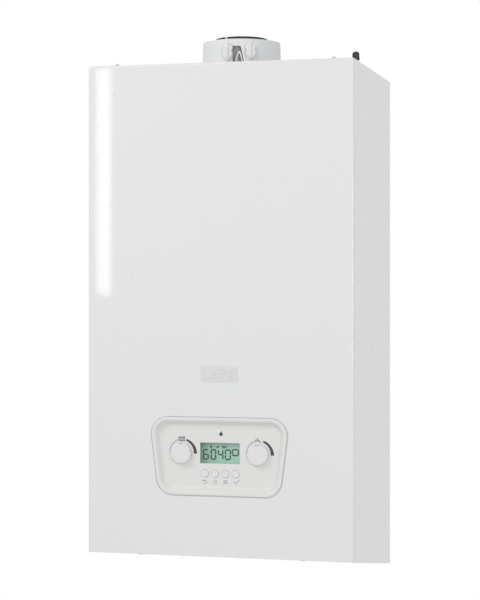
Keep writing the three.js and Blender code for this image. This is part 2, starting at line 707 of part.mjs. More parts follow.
const topPlate = () =>
  cut(
    block(
      -FRAME_HALF + CORNER_RADIUS / 2, FRAME_HALF - CORNER_RADIUS / 2,
      FRAME_FRONT_Y + CORNER_RADIUS / 2, -WALL_GAP, TOP_PLATE_LOW_Z, TOP_PLATE_Z,
    ),
    barZ(COLLAR_BORE, 0, FLUE_Y, TOP_PLATE_LOW_Z - PAST, TOP_PLATE_Z + PAST, 32),
    barZ(
      CHARGE_VALVE_RADIUS + SEAT_GAP, CHARGE_VALVE_X, VESSEL_MIDDLE_Y,
      TOP_PLATE_LOW_Z - PAST, TOP_PLATE_Z + PAST, 12,
    ),
  );

const bottomPlate = () => {
  const through = (x, y, radius) =>
    barZ(radius + SEAT_GAP, x, y, BOTTOM_PLATE_Z - PAST, BOTTOM_PLATE_TOP_Z + PAST, 16);
  const notch = (x) =>
    block(
      x - COVER_SCREW_RADIUS - SLIDE_GAP, x + COVER_SCREW_RADIUS + SLIDE_GAP,
      FRONT_Y, FRONT_Y + BOTTOM_LIP / 2 + COVER_SCREW_RADIUS + SLIDE_GAP,
      BOTTOM_PLATE_Z - PAST, BOTTOM_PLATE_TOP_Z + PAST,
    );
  return cut(
    block(
      -FRAME_HALF, FRAME_HALF, FRAME_FRONT_Y, PAN_Y - SEAT_GAP, BOTTOM_PLATE_Z, BOTTOM_PLATE_TOP_Z,
    ),
    ...[-2, -1, 0, 1, 2].map((k) => through(k * TAIL_SPACING, TAIL_Y, TAIL_RADIUS)),
    through(TRAP_X, TRAP_Y, PIPE_RADIUS),
    notch(-COVER_SCREW_X),
    notch(COVER_SCREW_X),
  );
};

// A stud on the top plate that the cover's notch slides round.
const coverStud = (x) => {
  const top = CASE_HEIGHT + STUD_TOP;
  return turnedZ(
    [
      [0, TOP_PLATE_Z],
      [STUD_RADIUS, TOP_PLATE_Z],
      [STUD_RADIUS, top - STUD_HEAD_HEIGHT - STUD_CHAMFER],
      [STUD_HEAD, top - STUD_HEAD_HEIGHT],
      [STUD_HEAD, top - STUD_CHAMFER],
      [STUD_HEAD - STUD_CHAMFER, top],
      [0, top],
    ],
    x,
    FRONT_Y + STUD_BEHIND_FRONT,
    14,
  );
};

// ---- control panel ----
const WINDOW_BACK_Y = FASCIA_BACK_Y + SEAT_GAP;
const KNOB_FRONT_Y = FASCIA_FLAT_Y - KNOB_HEIGHT;
const ENCODER_FRONT_Y = DISPLAY_BOARD_Y - SEAT_GAP - ENCODER_DEPTH;
const KNOB_SHAFT_END_Y = ENCODER_FRONT_Y + ENCODER_DEPTH - ENCODER_FLOOR;
const buttonX = (k) => BUTTON_FIRST_X + k * BUTTON_PITCH;

// The dished tray: a proud rim, a slope and a recessed flat, on the control box's front plate.
const controlFascia = () => {
  const tray = slabY(panelOutline(PANEL_GAP), FRONT_Y - RIM_PROUD, FASCIA_BACK_Y);
  const dishOuter = PANEL_GAP + RIM_WIDTH;
  const dish = loftY(
    panelOutline(dishOuter),
    FRONT_Y - RIM_PROUD - 0.01,
    panelOutline(dishOuter + RIM_SLOPE),
    FASCIA_FLAT_Y,
  );
  const plate = slabY(
    rounded(rectangle(-BOX_WIDTH / 2, BOX_WIDTH / 2, BOX_BOTTOM, BOX_TOP), BOX_RADIUS, 2),
    FASCIA_BACK_Y - FASCIA_WALL,
    FASCIA_BACK_Y,
  );
  const opening = slabY(
    rectangle(
      -WINDOW_WIDTH / 2, WINDOW_WIDTH / 2,
      WINDOW_Z - WINDOW_HEIGHT / 2, WINDOW_Z + WINDOW_HEIGHT / 2,
    ),
    FASCIA_FLAT_Y - PAST,
    FASCIA_BACK_Y + PAST,
  );
  const through = (radius, x, z) =>
    barY(radius, x, z, FASCIA_FLAT_Y - PAST, FASCIA_BACK_Y + PAST, 24);
  return cut(
    join(tray, plate),
    dish,
    opening,
    through(KNOB_SHAFT + 2 * RUN_GAP, -KNOB_X, KNOB_Z),
    through(KNOB_SHAFT + 2 * RUN_GAP, KNOB_X, KNOB_Z),
    ...[0, 1, 2, 3].map((k) => through(BUTTON_RADIUS + BUTTON_GAP, buttonX(k), BUTTON_Z)),
  );
};

const windowOutline = (lap) =>
  rectangle(
    -WINDOW_WIDTH / 2 - lap, WINDOW_WIDTH / 2 + lap,
    WINDOW_Z - WINDOW_HEIGHT / 2 - lap, WINDOW_Z + WINDOW_HEIGHT / 2 + lap,
  );
const lcdWindow = () =>
  slabY(windowOutline(WINDOW_LAP), WINDOW_BACK_Y, WINDOW_BACK_Y + WINDOW_PANE);
const lcdModule = () =>
  slabY(
    windowOutline(WINDOW_LAP - MODULE_INSET),
    WINDOW_BACK_Y + WINDOW_PANE + SEAT_GAP,
    DISPLAY_BOARD_Y - SEAT_GAP,
  );

// Knob disc with a rounded front edge, and its shaft back into the encoder.
const knob = (x) =>
  turnedY(
    [
      [0, KNOB_FRONT_Y],
      [KNOB_RADIUS - KNOB_EDGE, KNOB_FRONT_Y],
      [KNOB_RADIUS - KNOB_EDGE * 0.3, KNOB_FRONT_Y + KNOB_EDGE * 0.3],
      [KNOB_RADIUS, KNOB_FRONT_Y + KNOB_EDGE],
      [KNOB_RADIUS, FASCIA_FLAT_Y - KNOB_LIFT],
      [KNOB_SHAFT, FASCIA_FLAT_Y - KNOB_LIFT],
      [KNOB_SHAFT, KNOB_SHAFT_END_Y],
      [0, KNOB_SHAFT_END_Y],
    ],
    x,
    KNOB_Z,
    30,
  );

const encoder = (x) =>
  cut(
    block(
      x - ENCODER_SIZE / 2, x + ENCODER_SIZE / 2,
      ENCODER_FRONT_Y, ENCODER_FRONT_Y + ENCODER_DEPTH,
      KNOB_Z - ENCODER_SIZE / 2, KNOB_Z + ENCODER_SIZE / 2,
    ),
    barY(
      KNOB_SHAFT + RUN_GAP, x, KNOB_Z,
      ENCODER_FRONT_Y - PAST, KNOB_SHAFT_END_Y + RUN_GAP, 24,
    ),
  );

// Button cap, a collar behind the fascia that keeps it in, and a stem towards its switch.
const button = (k) => {
  const collar = FASCIA_BACK_Y + BUTTON_GAP;
  const stemEnd = DISPLAY_BOARD_Y - SEAT_GAP - BUTTON_TRAVEL - RUN_GAP;
  return turnedY(
    [
      [0, FASCIA_FLAT_Y - BUTTON_PROUD],
      [BUTTON_RADIUS - BUTTON_CHAMFER, FASCIA_FLAT_Y - BUTTON_PROUD],
      [BUTTON_RADIUS, FASCIA_FLAT_Y - BUTTON_PROUD + BUTTON_CHAMFER],
      [BUTTON_RADIUS, collar],
      [BUTTON_COLLAR, collar],
      [BUTTON_COLLAR, collar + BUTTON_COLLAR_THICKNESS],
      [BUTTON_STEM, collar + BUTTON_COLLAR_THICKNESS],
      [BUTTON_STEM, stemEnd],
      [0, stemEnd],
    ],
    buttonX(k),
    BUTTON_Z,
    16,
  );
};

// Display board on four posts of the fascia plate's height; the posts belong to the board.
const displayBoard = () => {
  const low = BUTTON_Z - DISPLAY_BOARD_BELOW;
  const high = KNOB_Z + DISPLAY_BOARD_ABOVE;
  const half = KNOB_X + DISPLAY_BOARD_SIDE;
  const post = (x, z) =>
    barY(DISPLAY_POST, x, z, FASCIA_BACK_Y + SEAT_GAP, DISPLAY_BOARD_Y + SINK, 10);
  return join(
    block(-half, half, DISPLAY_BOARD_Y, DISPLAY_BOARD_Y + BOARD, low, high),
    post(-half + POST_INSET, low + POST_INSET),
    post(half - POST_INSET, low + POST_INSET),
    post(-half + POST_INSET, high - POST_INSET),
    post(half - POST_INSET, high - POST_INSET),
  );
};

// Tub behind the fascia plate, open at the front, with two ears at its lower corners.
const controlBox = () => {
  const half = BOX_WIDTH / 2;
  const tub = cut(
    slabY(
      rounded(rectangle(-half, half, BOX_BOTTOM, BOX_TOP), BOX_RADIUS, 2), BOX_FRONT_Y, BOX_BACK_Y,
    ),
    slabY(
      rounded(
        rectangle(-half + BOX_WALL, half - BOX_WALL, BOX_BOTTOM + BOX_WALL, BOX_TOP - BOX_WALL),
        BOX_RADIUS - BOX_WALL, 2,
      ),
      BOX_FRONT_Y - PAST,
      BOX_BACK_Y - BOX_WALL,
    ),
  );
  const reach = FRAME_HALF - FRAME_SHEET - SEAT_GAP;
  const ear = (side, z) =>
    block(
      side < 0 ? -reach : half - PAST, side < 0 ? -half + PAST : reach,
      BOX_BACK_Y - EAR_FORWARD - EAR_DEPTH, BOX_BACK_Y - EAR_FORWARD, z, z + EAR_HEIGHT,
    );
  return join(
    tub,
    ...[-1, 1].flatMap((side) => [
      ear(side, BOX_BOTTOM + EAR_INSET),
      ear(side, BOX_TOP - EAR_INSET - EAR_HEIGHT),
    ]),
  );
};

// Main board on four posts in the tub, with its tall parts.
const mainBoard = () => {
  const back = BOX_BACK_Y - BOX_WALL - BOARD_STANDOFF;
  const front = back - BOARD;
  const half = BOX_WIDTH / 2 - BOARD_INSET;
  const low = BOX_BOTTOM + BOARD_EDGE;
  const high = BOX_TOP - BOARD_EDGE;
  const post = (x, z) =>
    barY(BOARD_POST, x, z, back - SINK, BOX_BACK_Y - BOX_WALL - SEAT_GAP, 10);
  const tallPart = ([width, height, depth], x, z) =>
    block(x, x + width, front - depth, front + SINK, z, z + height);
  const transformer = [42, 35, 24];
  const relay = [22, 33, 15];
  const plugRow = [40, 16, 11];
  const capacitor = { radius: 9, depth: 22 };
  return join(
    block(-half, half, front, back, low, high),
    tallPart(transformer, -half + 10, low + 15),
    tallPart(relay, -half + 70, high - 45),
    tallPart(plugRow, half - 60, high - 30),
    barY(capacitor.radius, half - 40, low + 35, front - capacitor.depth, front + SINK, 16),
    ...[-half + BOARD_POST_INSET, half - BOARD_POST_INSET].flatMap((x) => [
      post(x, low + BOARD_POST_INSET),
      post(x, high - BOARD_POST_INSET),
    ]),
  );
};

// ---- flue turret ----
// Turned collar with a base flange, a slot in its front and the seats of the two plugs.
const flueCollar = () => {
  const base = TOP_PLATE_Z;
  const top = CASE_HEIGHT + COLLAR_TOP;
  const flangeTop = base + COLLAR_FLANGE_THICKNESS;
  const ring = turnedZ(
    [
      [COLLAR_BORE, base],
      [COLLAR_BASE_RADIUS + COLLAR_FLANGE, base],
      [COLLAR_BASE_RADIUS + COLLAR_FLANGE, flangeTop],
      [COLLAR_BASE_RADIUS, flangeTop],
      [COLLAR_RIM_RADIUS, top - COLLAR_CHAMFER],
      [COLLAR_RIM_RADIUS - COLLAR_CHAMFER, top],
      [COLLAR_BORE, top],
      [COLLAR_BORE, base],
    ],
    0,
    FLUE_Y,
    40,
  );
  const front = FLUE_Y - COLLAR_RIM_RADIUS;
  const plugSeat = (x) =>
    block(
      x - PLUG_WIDTH / 2 + SEAT_INSET, x + PLUG_WIDTH / 2 - SEAT_INSET,
      front - SEAT_PROUD, FLUE_Y - COLLAR_BORE * 0.8,
      flangeTop - SINK, CASE_HEIGHT + PLUG_Z + PLUG_SHANK + SEAT_ABOVE,
    );
  const bore = barZ(COLLAR_BORE, 0, FLUE_Y, base - PAST, top + PAST, 40);
  const shankHole = (x) =>
    barY(
      PLUG_SHANK + RUN_GAP, x, CASE_HEIGHT + PLUG_Z, front - SEAT_PROUD - PAST,
      FLUE_Y - COLLAR_BORE * 0.6, 14,
    );
  const slot = [
    [SLOT_X - SLOT_FOOT / 2, flangeTop],
    [SLOT_X + SLOT_FOOT / 2, flangeTop],
    [SLOT_X - SLOT_LEAN + SLOT_HEAD / 2, CASE_HEIGHT + SLOT_TOP],
    [SLOT_X - SLOT_LEAN - SLOT_HEAD / 2, CASE_HEIGHT + SLOT_TOP],
  ];
  return cut(
    join(ring, plugSeat(PLUG_LEFT_X), plugSeat(PLUG_RIGHT_X)),
    bore,
    shankHole(PLUG_LEFT_X),
    shankHole(PLUG_RIGHT_X),
    slabY(slot, front - SEAT_PROUD - PAST, FLUE_Y - COLLAR_BORE * 0.8),
  );
};

// A faceted grip, taller than wide, on a round shank that plugs a sampling hole.
const testPlug = (x) => {
  const z = CASE_HEIGHT + PLUG_Z;
  const back = FLUE_Y - COLLAR_RIM_RADIUS - SEAT_PROUD - SEAT_GAP;
  const diamond = (share) => [
    [x, z - (PLUG_HEIGHT / 2) * share],
    [x + (PLUG_WIDTH / 2) * share, z - PLUG_HEIGHT * 0.2 * share],
    [x + (PLUG_WIDTH / 2) * share, z + PLUG_HEIGHT * 0.2 * share],
    [x, z + (PLUG_HEIGHT / 2) * share],
    [x - (PLUG_WIDTH / 2) * share, z + PLUG_HEIGHT * 0.2 * share],
    [x - (PLUG_WIDTH / 2) * share, z - PLUG_HEIGHT * 0.2 * share],
  ];
  return join(
    loftY(diamond(0.55), back - PLUG_DEPTH, diamond(1), back - PLUG_DEPTH * 0.35),
    loftY(diamond(1), back - PLUG_DEPTH * 0.35 - 0.01, diamond(0.85), back),
    barY(PLUG_SHANK, x, z, back - SINK, back + PLUG_SHANK_LENGTH, 14),
  );
};

// Inner flue tube from the exchanger's spigot to the turret.
const flueTube = () => {
  const low = SPIGOT_TOP + SEAT_GAP;
  return turnedZ(
    [
      [FLUE_TUBE_BORE, low],
      [SPIGOT_RADIUS, low],
      [SPIGOT_RADIUS, low + TUBE_SOCKET_LENGTH],
      [FLUE_TUBE_OUTER, low + TUBE_SOCKET_LENGTH + TUBE_SOCKET_TAPER],
      [FLUE_TUBE_OUTER, CASE_HEIGHT + FLUE_TUBE_TOP],
      [FLUE_TUBE_BORE, CASE_HEIGHT + FLUE_TUBE_TOP],
      [FLUE_TUBE_BORE, low],
    ],
    0,
    FLUE_Y,
    28,
  );
};

// Black ring over the tube's end, its lip resting on the end.
const flueSeal = () =>
  turnedZ(
    [
      [FLUE_TUBE_OUTER + SEAT_GAP, CASE_HEIGHT + SEAL_TOP - SEAL_LENGTH],
      [SEAL_RADIUS, CASE_HEIGHT + SEAL_TOP - SEAL_LENGTH],
      [SEAL_RADIUS, CASE_HEIGHT + SEAL_TOP - SEAL_CHAMFER],
      [SEAL_RADIUS - SEAL_CHAMFER, CASE_HEIGHT + SEAL_TOP],
      [FLUE_TUBE_BORE + SEAL_LIP_CHAMFER, CASE_HEIGHT + SEAL_TOP],
      [FLUE_TUBE_BORE, CASE_HEIGHT + SEAL_TOP - SEAL_LIP_CHAMFER],
      [FLUE_TUBE_BORE, CASE_HEIGHT + FLUE_TUBE_TOP + SEAT_GAP],
      [FLUE_TUBE_OUTER + SEAT_GAP, CASE_HEIGHT + FLUE_TUBE_TOP + SEAT_GAP],
      [FLUE_TUBE_OUTER + SEAT_GAP, CASE_HEIGHT + SEAL_TOP - SEAL_LENGTH],
    ],
    0,
    FLUE_Y,
    28,
  );

// ---- combustion side ----
// Drum, open at the front, with a flange for the door, a flue spigot on top, a drain below and a hole
// for each end of the coil.
const exchangerShell = () => {
  const outer = EXCHANGER_RADIUS;
  const inner = EXCHANGER_RADIUS - EXCHANGER_WALL;
  const body = turnedY(
    [
      [0, EXCHANGER_BACK_Y],
      [outer, EXCHANGER_BACK_Y],
      [outer, EXCHANGER_Y + EXCHANGER_FLANGE],
      [DOOR_RADIUS, EXCHANGER_Y + EXCHANGER_FLANGE],
      [DOOR_RADIUS, EXCHANGER_Y],
      [inner, EXCHANGER_Y],
      [inner, EXCHANGER_BACK_Y - EXCHANGER_WALL],
      [0, EXCHANGER_BACK_Y - EXCHANGER_WALL],
    ],
    0,
    EXCHANGER_Z,
    32,
  );
  const hollow = barY(
    inner, 0, EXCHANGER_Z, EXCHANGER_Y - PAST, EXCHANGER_BACK_Y - EXCHANGER_WALL, 32,
  );
  const spigot = barZ(SPIGOT_RADIUS, 0, FLUE_Y, EXCHANGER_Z + inner * 0.8, SPIGOT_TOP, 24);
  const drain = barZ(PIPE_RADIUS, TRAP_X, TRAP_Y, DRAIN_LOW, EXCHANGER_Z - inner * 0.9, 14);
  const lug = (x) =>
    block(
      x - LUG_HALF_WIDTH, x + LUG_HALF_WIDTH, EXCHANGER_BACK_Y - EXCHANGER_WALL / 2,
      VESSEL_FRONT_Y - SEAT_GAP, EXCHANGER_Z - LUG_HALF_HEIGHT, EXCHANGER_Z + LUG_HALF_HEIGHT,
    );
  return join(
    cut(
      join(body, spigot, drain),
      hollow,
      barZ(FLUE_TUBE_BORE, 0, FLUE_Y, EXCHANGER_Z + inner * 0.6, SPIGOT_TOP + PAST, 24),
      barX(COIL_TUBE + SEAT_GAP, COIL_START_Y, COIL_LOW_Z, 0, outer, 12),
      barX(COIL_TUBE + SEAT_GAP, COIL_END_Y, COIL_LOW_Z, -outer, 0, 12),
    ),
    lug(-LUG_X),
    lug(LUG_X),
  );
};

// One tube: in from the right, five turns back through the drum, out to the left.
const exchangerCoil = () => {
  const path = new THREE.CurvePath();
  const low = COIL_LOW_Z;
  path.add(
    new THREE.LineCurve3(
      new THREE.Vector3(COIL_TAIL, COIL_START_Y, low),
      new THREE.Vector3(0, COIL_START_Y, low),
    ),
  );
  class Helix extends THREE.Curve {
    getPoint(t) {
      const turn = -Math.PI / 2 - 2 * Math.PI * COIL_TURNS * t;
      return new THREE.Vector3(
        COIL_RADIUS * Math.cos(turn),
        COIL_START_Y + (COIL_END_Y - COIL_START_Y) * t,
        EXCHANGER_Z + COIL_RADIUS * Math.sin(turn),
      );
    }
  }
  path.add(new Helix());
  path.add(
    new THREE.LineCurve3(
      new THREE.Vector3(0, COIL_END_Y, low),
      new THREE.Vector3(-COIL_TAIL, COIL_END_Y, low),
    ),
  );
  return tubeAlong(path, COIL_TUBE, 6, 76);
};

// Door over the drum's mouth, with the duct that brings the gas and air from the fan.
const burnerDoor = () => {
  const back = EXCHANGER_Y - SEAT_GAP;
  const front = back - DOOR_THICKNESS;
  const disc = barY(DOOR_RADIUS, 0, EXCHANGER_Z, front, back, 32);
  const half = DUCT_WIDTH / 2;
  const duct = slabY(
    rounded(
      [
        [-half, EXCHANGER_Z - half],
        [half, EXCHANGER_Z - half],
        [SNOUT_RIGHT_X, FAN_Z - FAN_RADIUS - SNOUT_BEND],
        [SNOUT_RIGHT_X, FAN_Z - FAN_RADIUS - SEAT_GAP],
        [SNOUT_RIGHT_X - DUCT_WIDTH, FAN_Z - FAN_RADIUS - SEAT_GAP],
        [-half, EXCHANGER_Z + half],
      ],
      [18, 12, 6, 0, 0, 12],
      3,
    ),
    front - DUCT_DEPTH,
    front + 1,
  );
  return cut(
    join(disc, duct),
    barY(BURNER_RADIUS + SEAT_GAP, 0, EXCHANGER_Z, back - BURNER_SEAT, back + PAST, 28),
    barY(ELECTRODE_BODY + SEAT_GAP, ELECTRODE_X, ELECTRODE_Z, front - PAST, back + PAST, 12),
  );
};

// Burner tube, closed at its far end, seated in the door.
const burner = () =>
  cut(
    barY(BURNER_RADIUS, 0, EXCHANGER_Z, EXCHANGER_Y - BURNER_SEAT, EXCHANGER_Y + BURNER_LENGTH, 28),
    barY(
      BURNER_RADIUS - BURNER_WALL, 0, EXCHANGER_Z,
      EXCHANGER_Y - BURNER_SEAT - PAST, EXCHANGER_Y + BURNER_LENGTH - BURNER_WALL, 28,
    ),
  );

const ignitionElectrode = () => {
  const [capRadius, capLength] = ELECTRODE_CAP;
  const capBack = EXCHANGER_Y - DOOR_THICKNESS - 2 * SEAT_GAP;
  const bodyEnd = EXCHANGER_Y + ELECTRODE_REACH;
  const alongY = (radius, y0, y1, sides) => barY(radius, ELECTRODE_X, ELECTRODE_Z, y0, y1, sides);
  return join(
    alongY(capRadius, capBack - capLength, capBack, 12),
    alongY(ELECTRODE_BODY, capBack - SINK, bodyEnd, 12),
    alongY(ELECTRODE_PIN, bodyEnd - PAST, EXCHANGER_Y + ELECTRODE_PIN_REACH, 8),
  );
};

// Fan: a drum with a snout down to the door's duct.
const fanHousing = () => {
  const snout = block(
    SNOUT_RIGHT_X - DUCT_WIDTH, SNOUT_RIGHT_X, FAN_Y, FAN_Y + DUCT_DEPTH,
    FAN_Z - FAN_RADIUS, FAN_Z,
  );
  return cut(
    join(barY(FAN_RADIUS, FAN_X, FAN_Z, FAN_Y, FAN_BACK_Y, 28), snout),
    barY(FAN_RADIUS - FAN_WALL, FAN_X, FAN_Z, FAN_Y + FAN_WALL, FAN_BACK_Y - FAN_WALL, 28),
    barY(
      MIXER_RADIUS - MIXER_WALL, FAN_X, FAN_Z, FAN_BACK_Y - FAN_WALL - PAST, FAN_BACK_Y + PAST, 20,
    ),
    barY(FAN_SHAFT + RUN_GAP, FAN_X, FAN_Z, FAN_Y - PAST, FAN_Y + FAN_WALL + PAST, 16),
  );
};

// Backplate, blades and a shaft forward into the motor.
const fanImpeller = () => {
  const [thickness, width] = BLADE;
  const front = FAN_Y + 2 * FAN_WALL;
  const plate = 2;
  const length = FAN_DEPTH - 2 * FAN_WALL - 10;
  const blades = Array.from({ length: BLADE_COUNT }, (_, i) =>
    toSolid(
      new THREE.BoxGeometry(thickness, length, width)
        .rotateY(0.5)
        .translate(0, 0, IMPELLER_RADIUS - width / 2 - 3)
        .rotateY((2 * Math.PI * i) / BLADE_COUNT)
        .translate(FAN_X, front + plate / 2 + length / 2, FAN_Z),
    ),
  );
  return join(
    barY(IMPELLER_RADIUS, FAN_X, FAN_Z, front, front + plate, 24),
    barY(FAN_SHAFT, FAN_X, FAN_Z, FAN_SHAFT_FRONT_Y, front + 14, 16),
    ...blades,
  );
};

const FAN_SHAFT_FRONT_Y = FAN_Y - FAN_MOTOR_DEPTH + 5;
const fanMotor = () =>
  cut(
    barY(FAN_MOTOR_RADIUS, FAN_X, FAN_Z, FAN_Y - SEAT_GAP - FAN_MOTOR_DEPTH, FAN_Y - SEAT_GAP, 32),
    barY(FAN_SHAFT + RUN_GAP, FAN_X, FAN_Z, FAN_SHAFT_FRONT_Y - PAST, FAN_Y + PAST, 16),
  );

// Mixer: a waisted tube from the silencer to the fan, with a gas inlet from below.
const mixer = () => {
  const y0 = FAN_BACK_Y + SEAT_GAP;
  const bore = MIXER_RADIUS - MIXER_WALL;
  const body = turnedY(
    [
      [bore, y0],
      [MIXER_RADIUS, y0],
      [MIXER_RADIUS, MIXER_BACK_Y],
      [bore, MIXER_BACK_Y],
      [bore - MIXER_WAIST, MIXER_MIDDLE_Y],
      [bore, y0],
    ],
    FAN_X,
    FAN_Z,
    20,
  );
  return join(
    body,
    barZ(
      GAS_PIPE + GAS_SPIGOT, FAN_X, MIXER_MIDDLE_Y,
      FAN_Z - MIXER_RADIUS - GAS_SPIGOT_LENGTH, FAN_Z - MIXER_RADIUS + MIXER_WALL, 16,
    ),
  );
};

// Silencer: a box behind the mixer, open on top and into the mixer.
const airSilencer = () => {
  const x0 = FAN_X - SILENCER_LEFT;
  const x1 = FRAME_HALF - FRAME_SHEET - SEAT_GAP;
  const y0 = MIXER_BACK_Y + SEAT_GAP;
  const y1 = y0 + SILENCER_DEPTH;
  const z0 = FAN_Z - SILENCER_HALF_HEIGHT;
  const z1 = FAN_Z + SILENCER_HALF_HEIGHT;
  const wall = SILENCER_WALL;
  const edge = SILENCER_EDGE;
  return cut(
    block(x0, x1, y0, y1, z0, z1),
    block(x0 + wall, x1 - wall, y0 + wall, y1 - wall, z0 + wall, z1 - wall),
    barY(MIXER_RADIUS - MIXER_WALL, FAN_X, FAN_Z, y0 - PAST, y0 + wall + PAST, 28),
    block(x0 + edge, x1 - edge, y0 + edge, y1 - edge, z1 - wall - PAST, z1 + PAST),
  );
};

const [VALVE_WIDTH, VALVE_DEPTH, VALVE_HEIGHT] = VALVE_BLOCK;
const VALVE_X = FRAME_HALF - FRAME_SHEET - SEAT_GAP - VALVE_WIDTH / 2;
const VALVE_Y = EXCHANGER_Y - 12 + VALVE_DEPTH / 2;
const VALVE_LOW = EXCHANGER_Z - 20;
const VALVE_HIGH = VALVE_LOW + VALVE_HEIGHT;
const VALVE_COIL = 13; // radius of each magnet coil on its front
const VALVE_COIL_LENGTH = 14;
const VALVE_COIL_INSET = 22; // from the block's upper and lower faces
const gasValve = () => {
  const front = VALVE_Y - VALVE_DEPTH / 2;
  const coil = (z) => barY(VALVE_COIL, VALVE_X, z, front - VALVE_COIL_LENGTH, VALVE_Y, 20);
  const spigot = (z0, z1) => barZ(GAS_PIPE + GAS_SPIGOT, VALVE_X, VALVE_Y, z0, z1, 16);
  return join(
    block(
      VALVE_X - VALVE_WIDTH / 2, VALVE_X + VALVE_WIDTH / 2,
      front, front + VALVE_DEPTH, VALVE_LOW, VALVE_HIGH,
    ),
    coil(VALVE_HIGH - VALVE_COIL_INSET),
    coil(VALVE_LOW + VALVE_COIL_INSET),
    spigot(VALVE_HIGH - SINK, VALVE_HIGH + GAS_SPIGOT_LENGTH),
    spigot(VALVE_LOW - GAS_SPIGOT_LENGTH, VALVE_LOW + SINK),
  );
};

const gasInjectorPipe = () => {
  const top = FAN_Z - MIXER_RADIUS - GAS_SPIGOT_LENGTH - SEAT_GAP;
  const low = VALVE_HIGH + GAS_SPIGOT_LENGTH + SEAT_GAP;
  return pipe(
    [
      [VALVE_X, VALVE_Y, low],
      [VALVE_X, VALVE_Y, low + (top - low) * 0.25],
      [FAN_X, MIXER_MIDDLE_Y, low + (top - low) * 0.5],
      [FAN_X, MIXER_MIDDLE_Y, top],
    ],
    INJECTOR_PIPE,
  );
};

// ---- water side ----
const vesselLow = VESSEL_TOP - VESSEL_HEIGHT;

const VESSEL_SEAM = 3; // the seam stands out this far
const VESSEL_SEAM_HALF = 2;
const VESSEL_DISH = 14; // depth of the dished front
const VESSEL_BOSS_TOP = 2; // above the vessel's top
const VESSEL_BORE_DEPTH = 12;

// Flat hollow vessel with a seam round its middle, and a bore in the valve's boss.
const expansionVessel = () => {
  const x0 = VESSEL_X - VESSEL_WIDTH / 2;
  const x1 = VESSEL_X + VESSEL_WIDTH / 2;
  const outline = rectangle(x0, x1, vesselLow, VESSEL_TOP);
  const shell = (radius, inward) => rounded(inset(outline, inward), radius - inward, 4);
  const seam = VESSEL_SEAM;
  const dish = VESSEL_DISH;
  return cut(
    join(
      loftY(
        shell(VESSEL_RADIUS + dish, dish), VESSEL_FRONT_Y,
        shell(VESSEL_RADIUS + dish, seam), VESSEL_FRONT_Y + dish,
      ),
      slabY(shell(VESSEL_RADIUS, seam), VESSEL_FRONT_Y + dish - SINK, VESSEL_BACK_Y),
      slabY(
        shell(VESSEL_RADIUS, 0),
        VESSEL_MIDDLE_Y - VESSEL_SEAM_HALF, VESSEL_MIDDLE_Y + VESSEL_SEAM_HALF,
      ),
      barZ(
        CHARGE_VALVE_BOSS, CHARGE_VALVE_X, VESSEL_MIDDLE_Y,
        VESSEL_TOP - seam - PAST, VESSEL_TOP + VESSEL_BOSS_TOP, 12,
      ),
    ),
    loftY(
      shell(VESSEL_RADIUS + dish, dish + VESSEL_WALL), VESSEL_FRONT_Y + VESSEL_WALL,
      shell(VESSEL_RADIUS + dish, seam + VESSEL_WALL), VESSEL_FRONT_Y + dish,
    ),
    slabY(
      shell(VESSEL_RADIUS, seam + VESSEL_WALL),
      VESSEL_FRONT_Y + dish - SINK, VESSEL_BACK_Y - VESSEL_WALL,
    ),
    barZ(
      CHARGE_VALVE_BORE, CHARGE_VALVE_X, VESSEL_MIDDLE_Y,
      VESSEL_TOP - VESSEL_BORE_DEPTH, VESSEL_TOP + VESSEL_BOSS_TOP + PAST, 12,
    ),
  );
};

// Stem of the charge valve, up through the top plate.
const chargeValve = () =>
  barZ(
    CHARGE_VALVE_RADIUS, CHARGE_VALVE_X, VESSEL_MIDDLE_Y,
    VESSEL_TOP + VESSEL_BOSS_TOP + SEAT_GAP, CASE_HEIGHT + CHARGE_VALVE_TOP, 14,
  );

// Dome-topped cap over the stem's end.
const valveCap = () => {
  const top = CASE_HEIGHT + VALVE_CAP_TOP;
  const low = top - VALVE_CAP_HEIGHT;
  const bore = CHARGE_VALVE_RADIUS + RUN_GAP;
  return turnedZ(
    [
      [bore, low],
      [VALVE_CAP_RADIUS, low],
      [VALVE_CAP_RADIUS, top - VALVE_CAP_DOME],
      [VALVE_CAP_RADIUS * 0.8, top - VALVE_CAP_DOME / 3],
      [VALVE_CAP_RADIUS * 0.4, top - VALVE_CAP_DOME / 18],
      [0, top],
      [0, CASE_HEIGHT + CHARGE_VALVE_TOP + SEAT_GAP],
      [bore, CASE_HEIGHT + CHARGE_VALVE_TOP + SEAT_GAP],
      [bore, low],
    ],
    CHARGE_VALVE_X,
    VESSEL_MIDDLE_Y,
    16,
  );
};

const TAIL_BELOW_NUT = 6; // the tail's end below its nut
const BLOCK_SOCKET = [PIPE_RADIUS + 4, 8]; // radius and height of a pipe's socket on a block
const BRIDGE_HALF = 14; // half the depth of a block's arm to its inner tail
const BRIDGE_HEIGHT = 30;
const TAIL_IN_BLOCK = 5;

// A capped connection tail under a block, with its union nut.
const tail = (k, top) =>
  join(
    barZ(TAIL_RADIUS, k * TAIL_SPACING, TAIL_Y, TAIL_END, top, 18),
    barZ(
      TAIL_NUT, k * TAIL_SPACING, TAIL_Y,
      TAIL_END + TAIL_BELOW_NUT, TAIL_END + TAIL_BELOW_NUT + TAIL_NUT_HEIGHT, 6,
    ),
  );

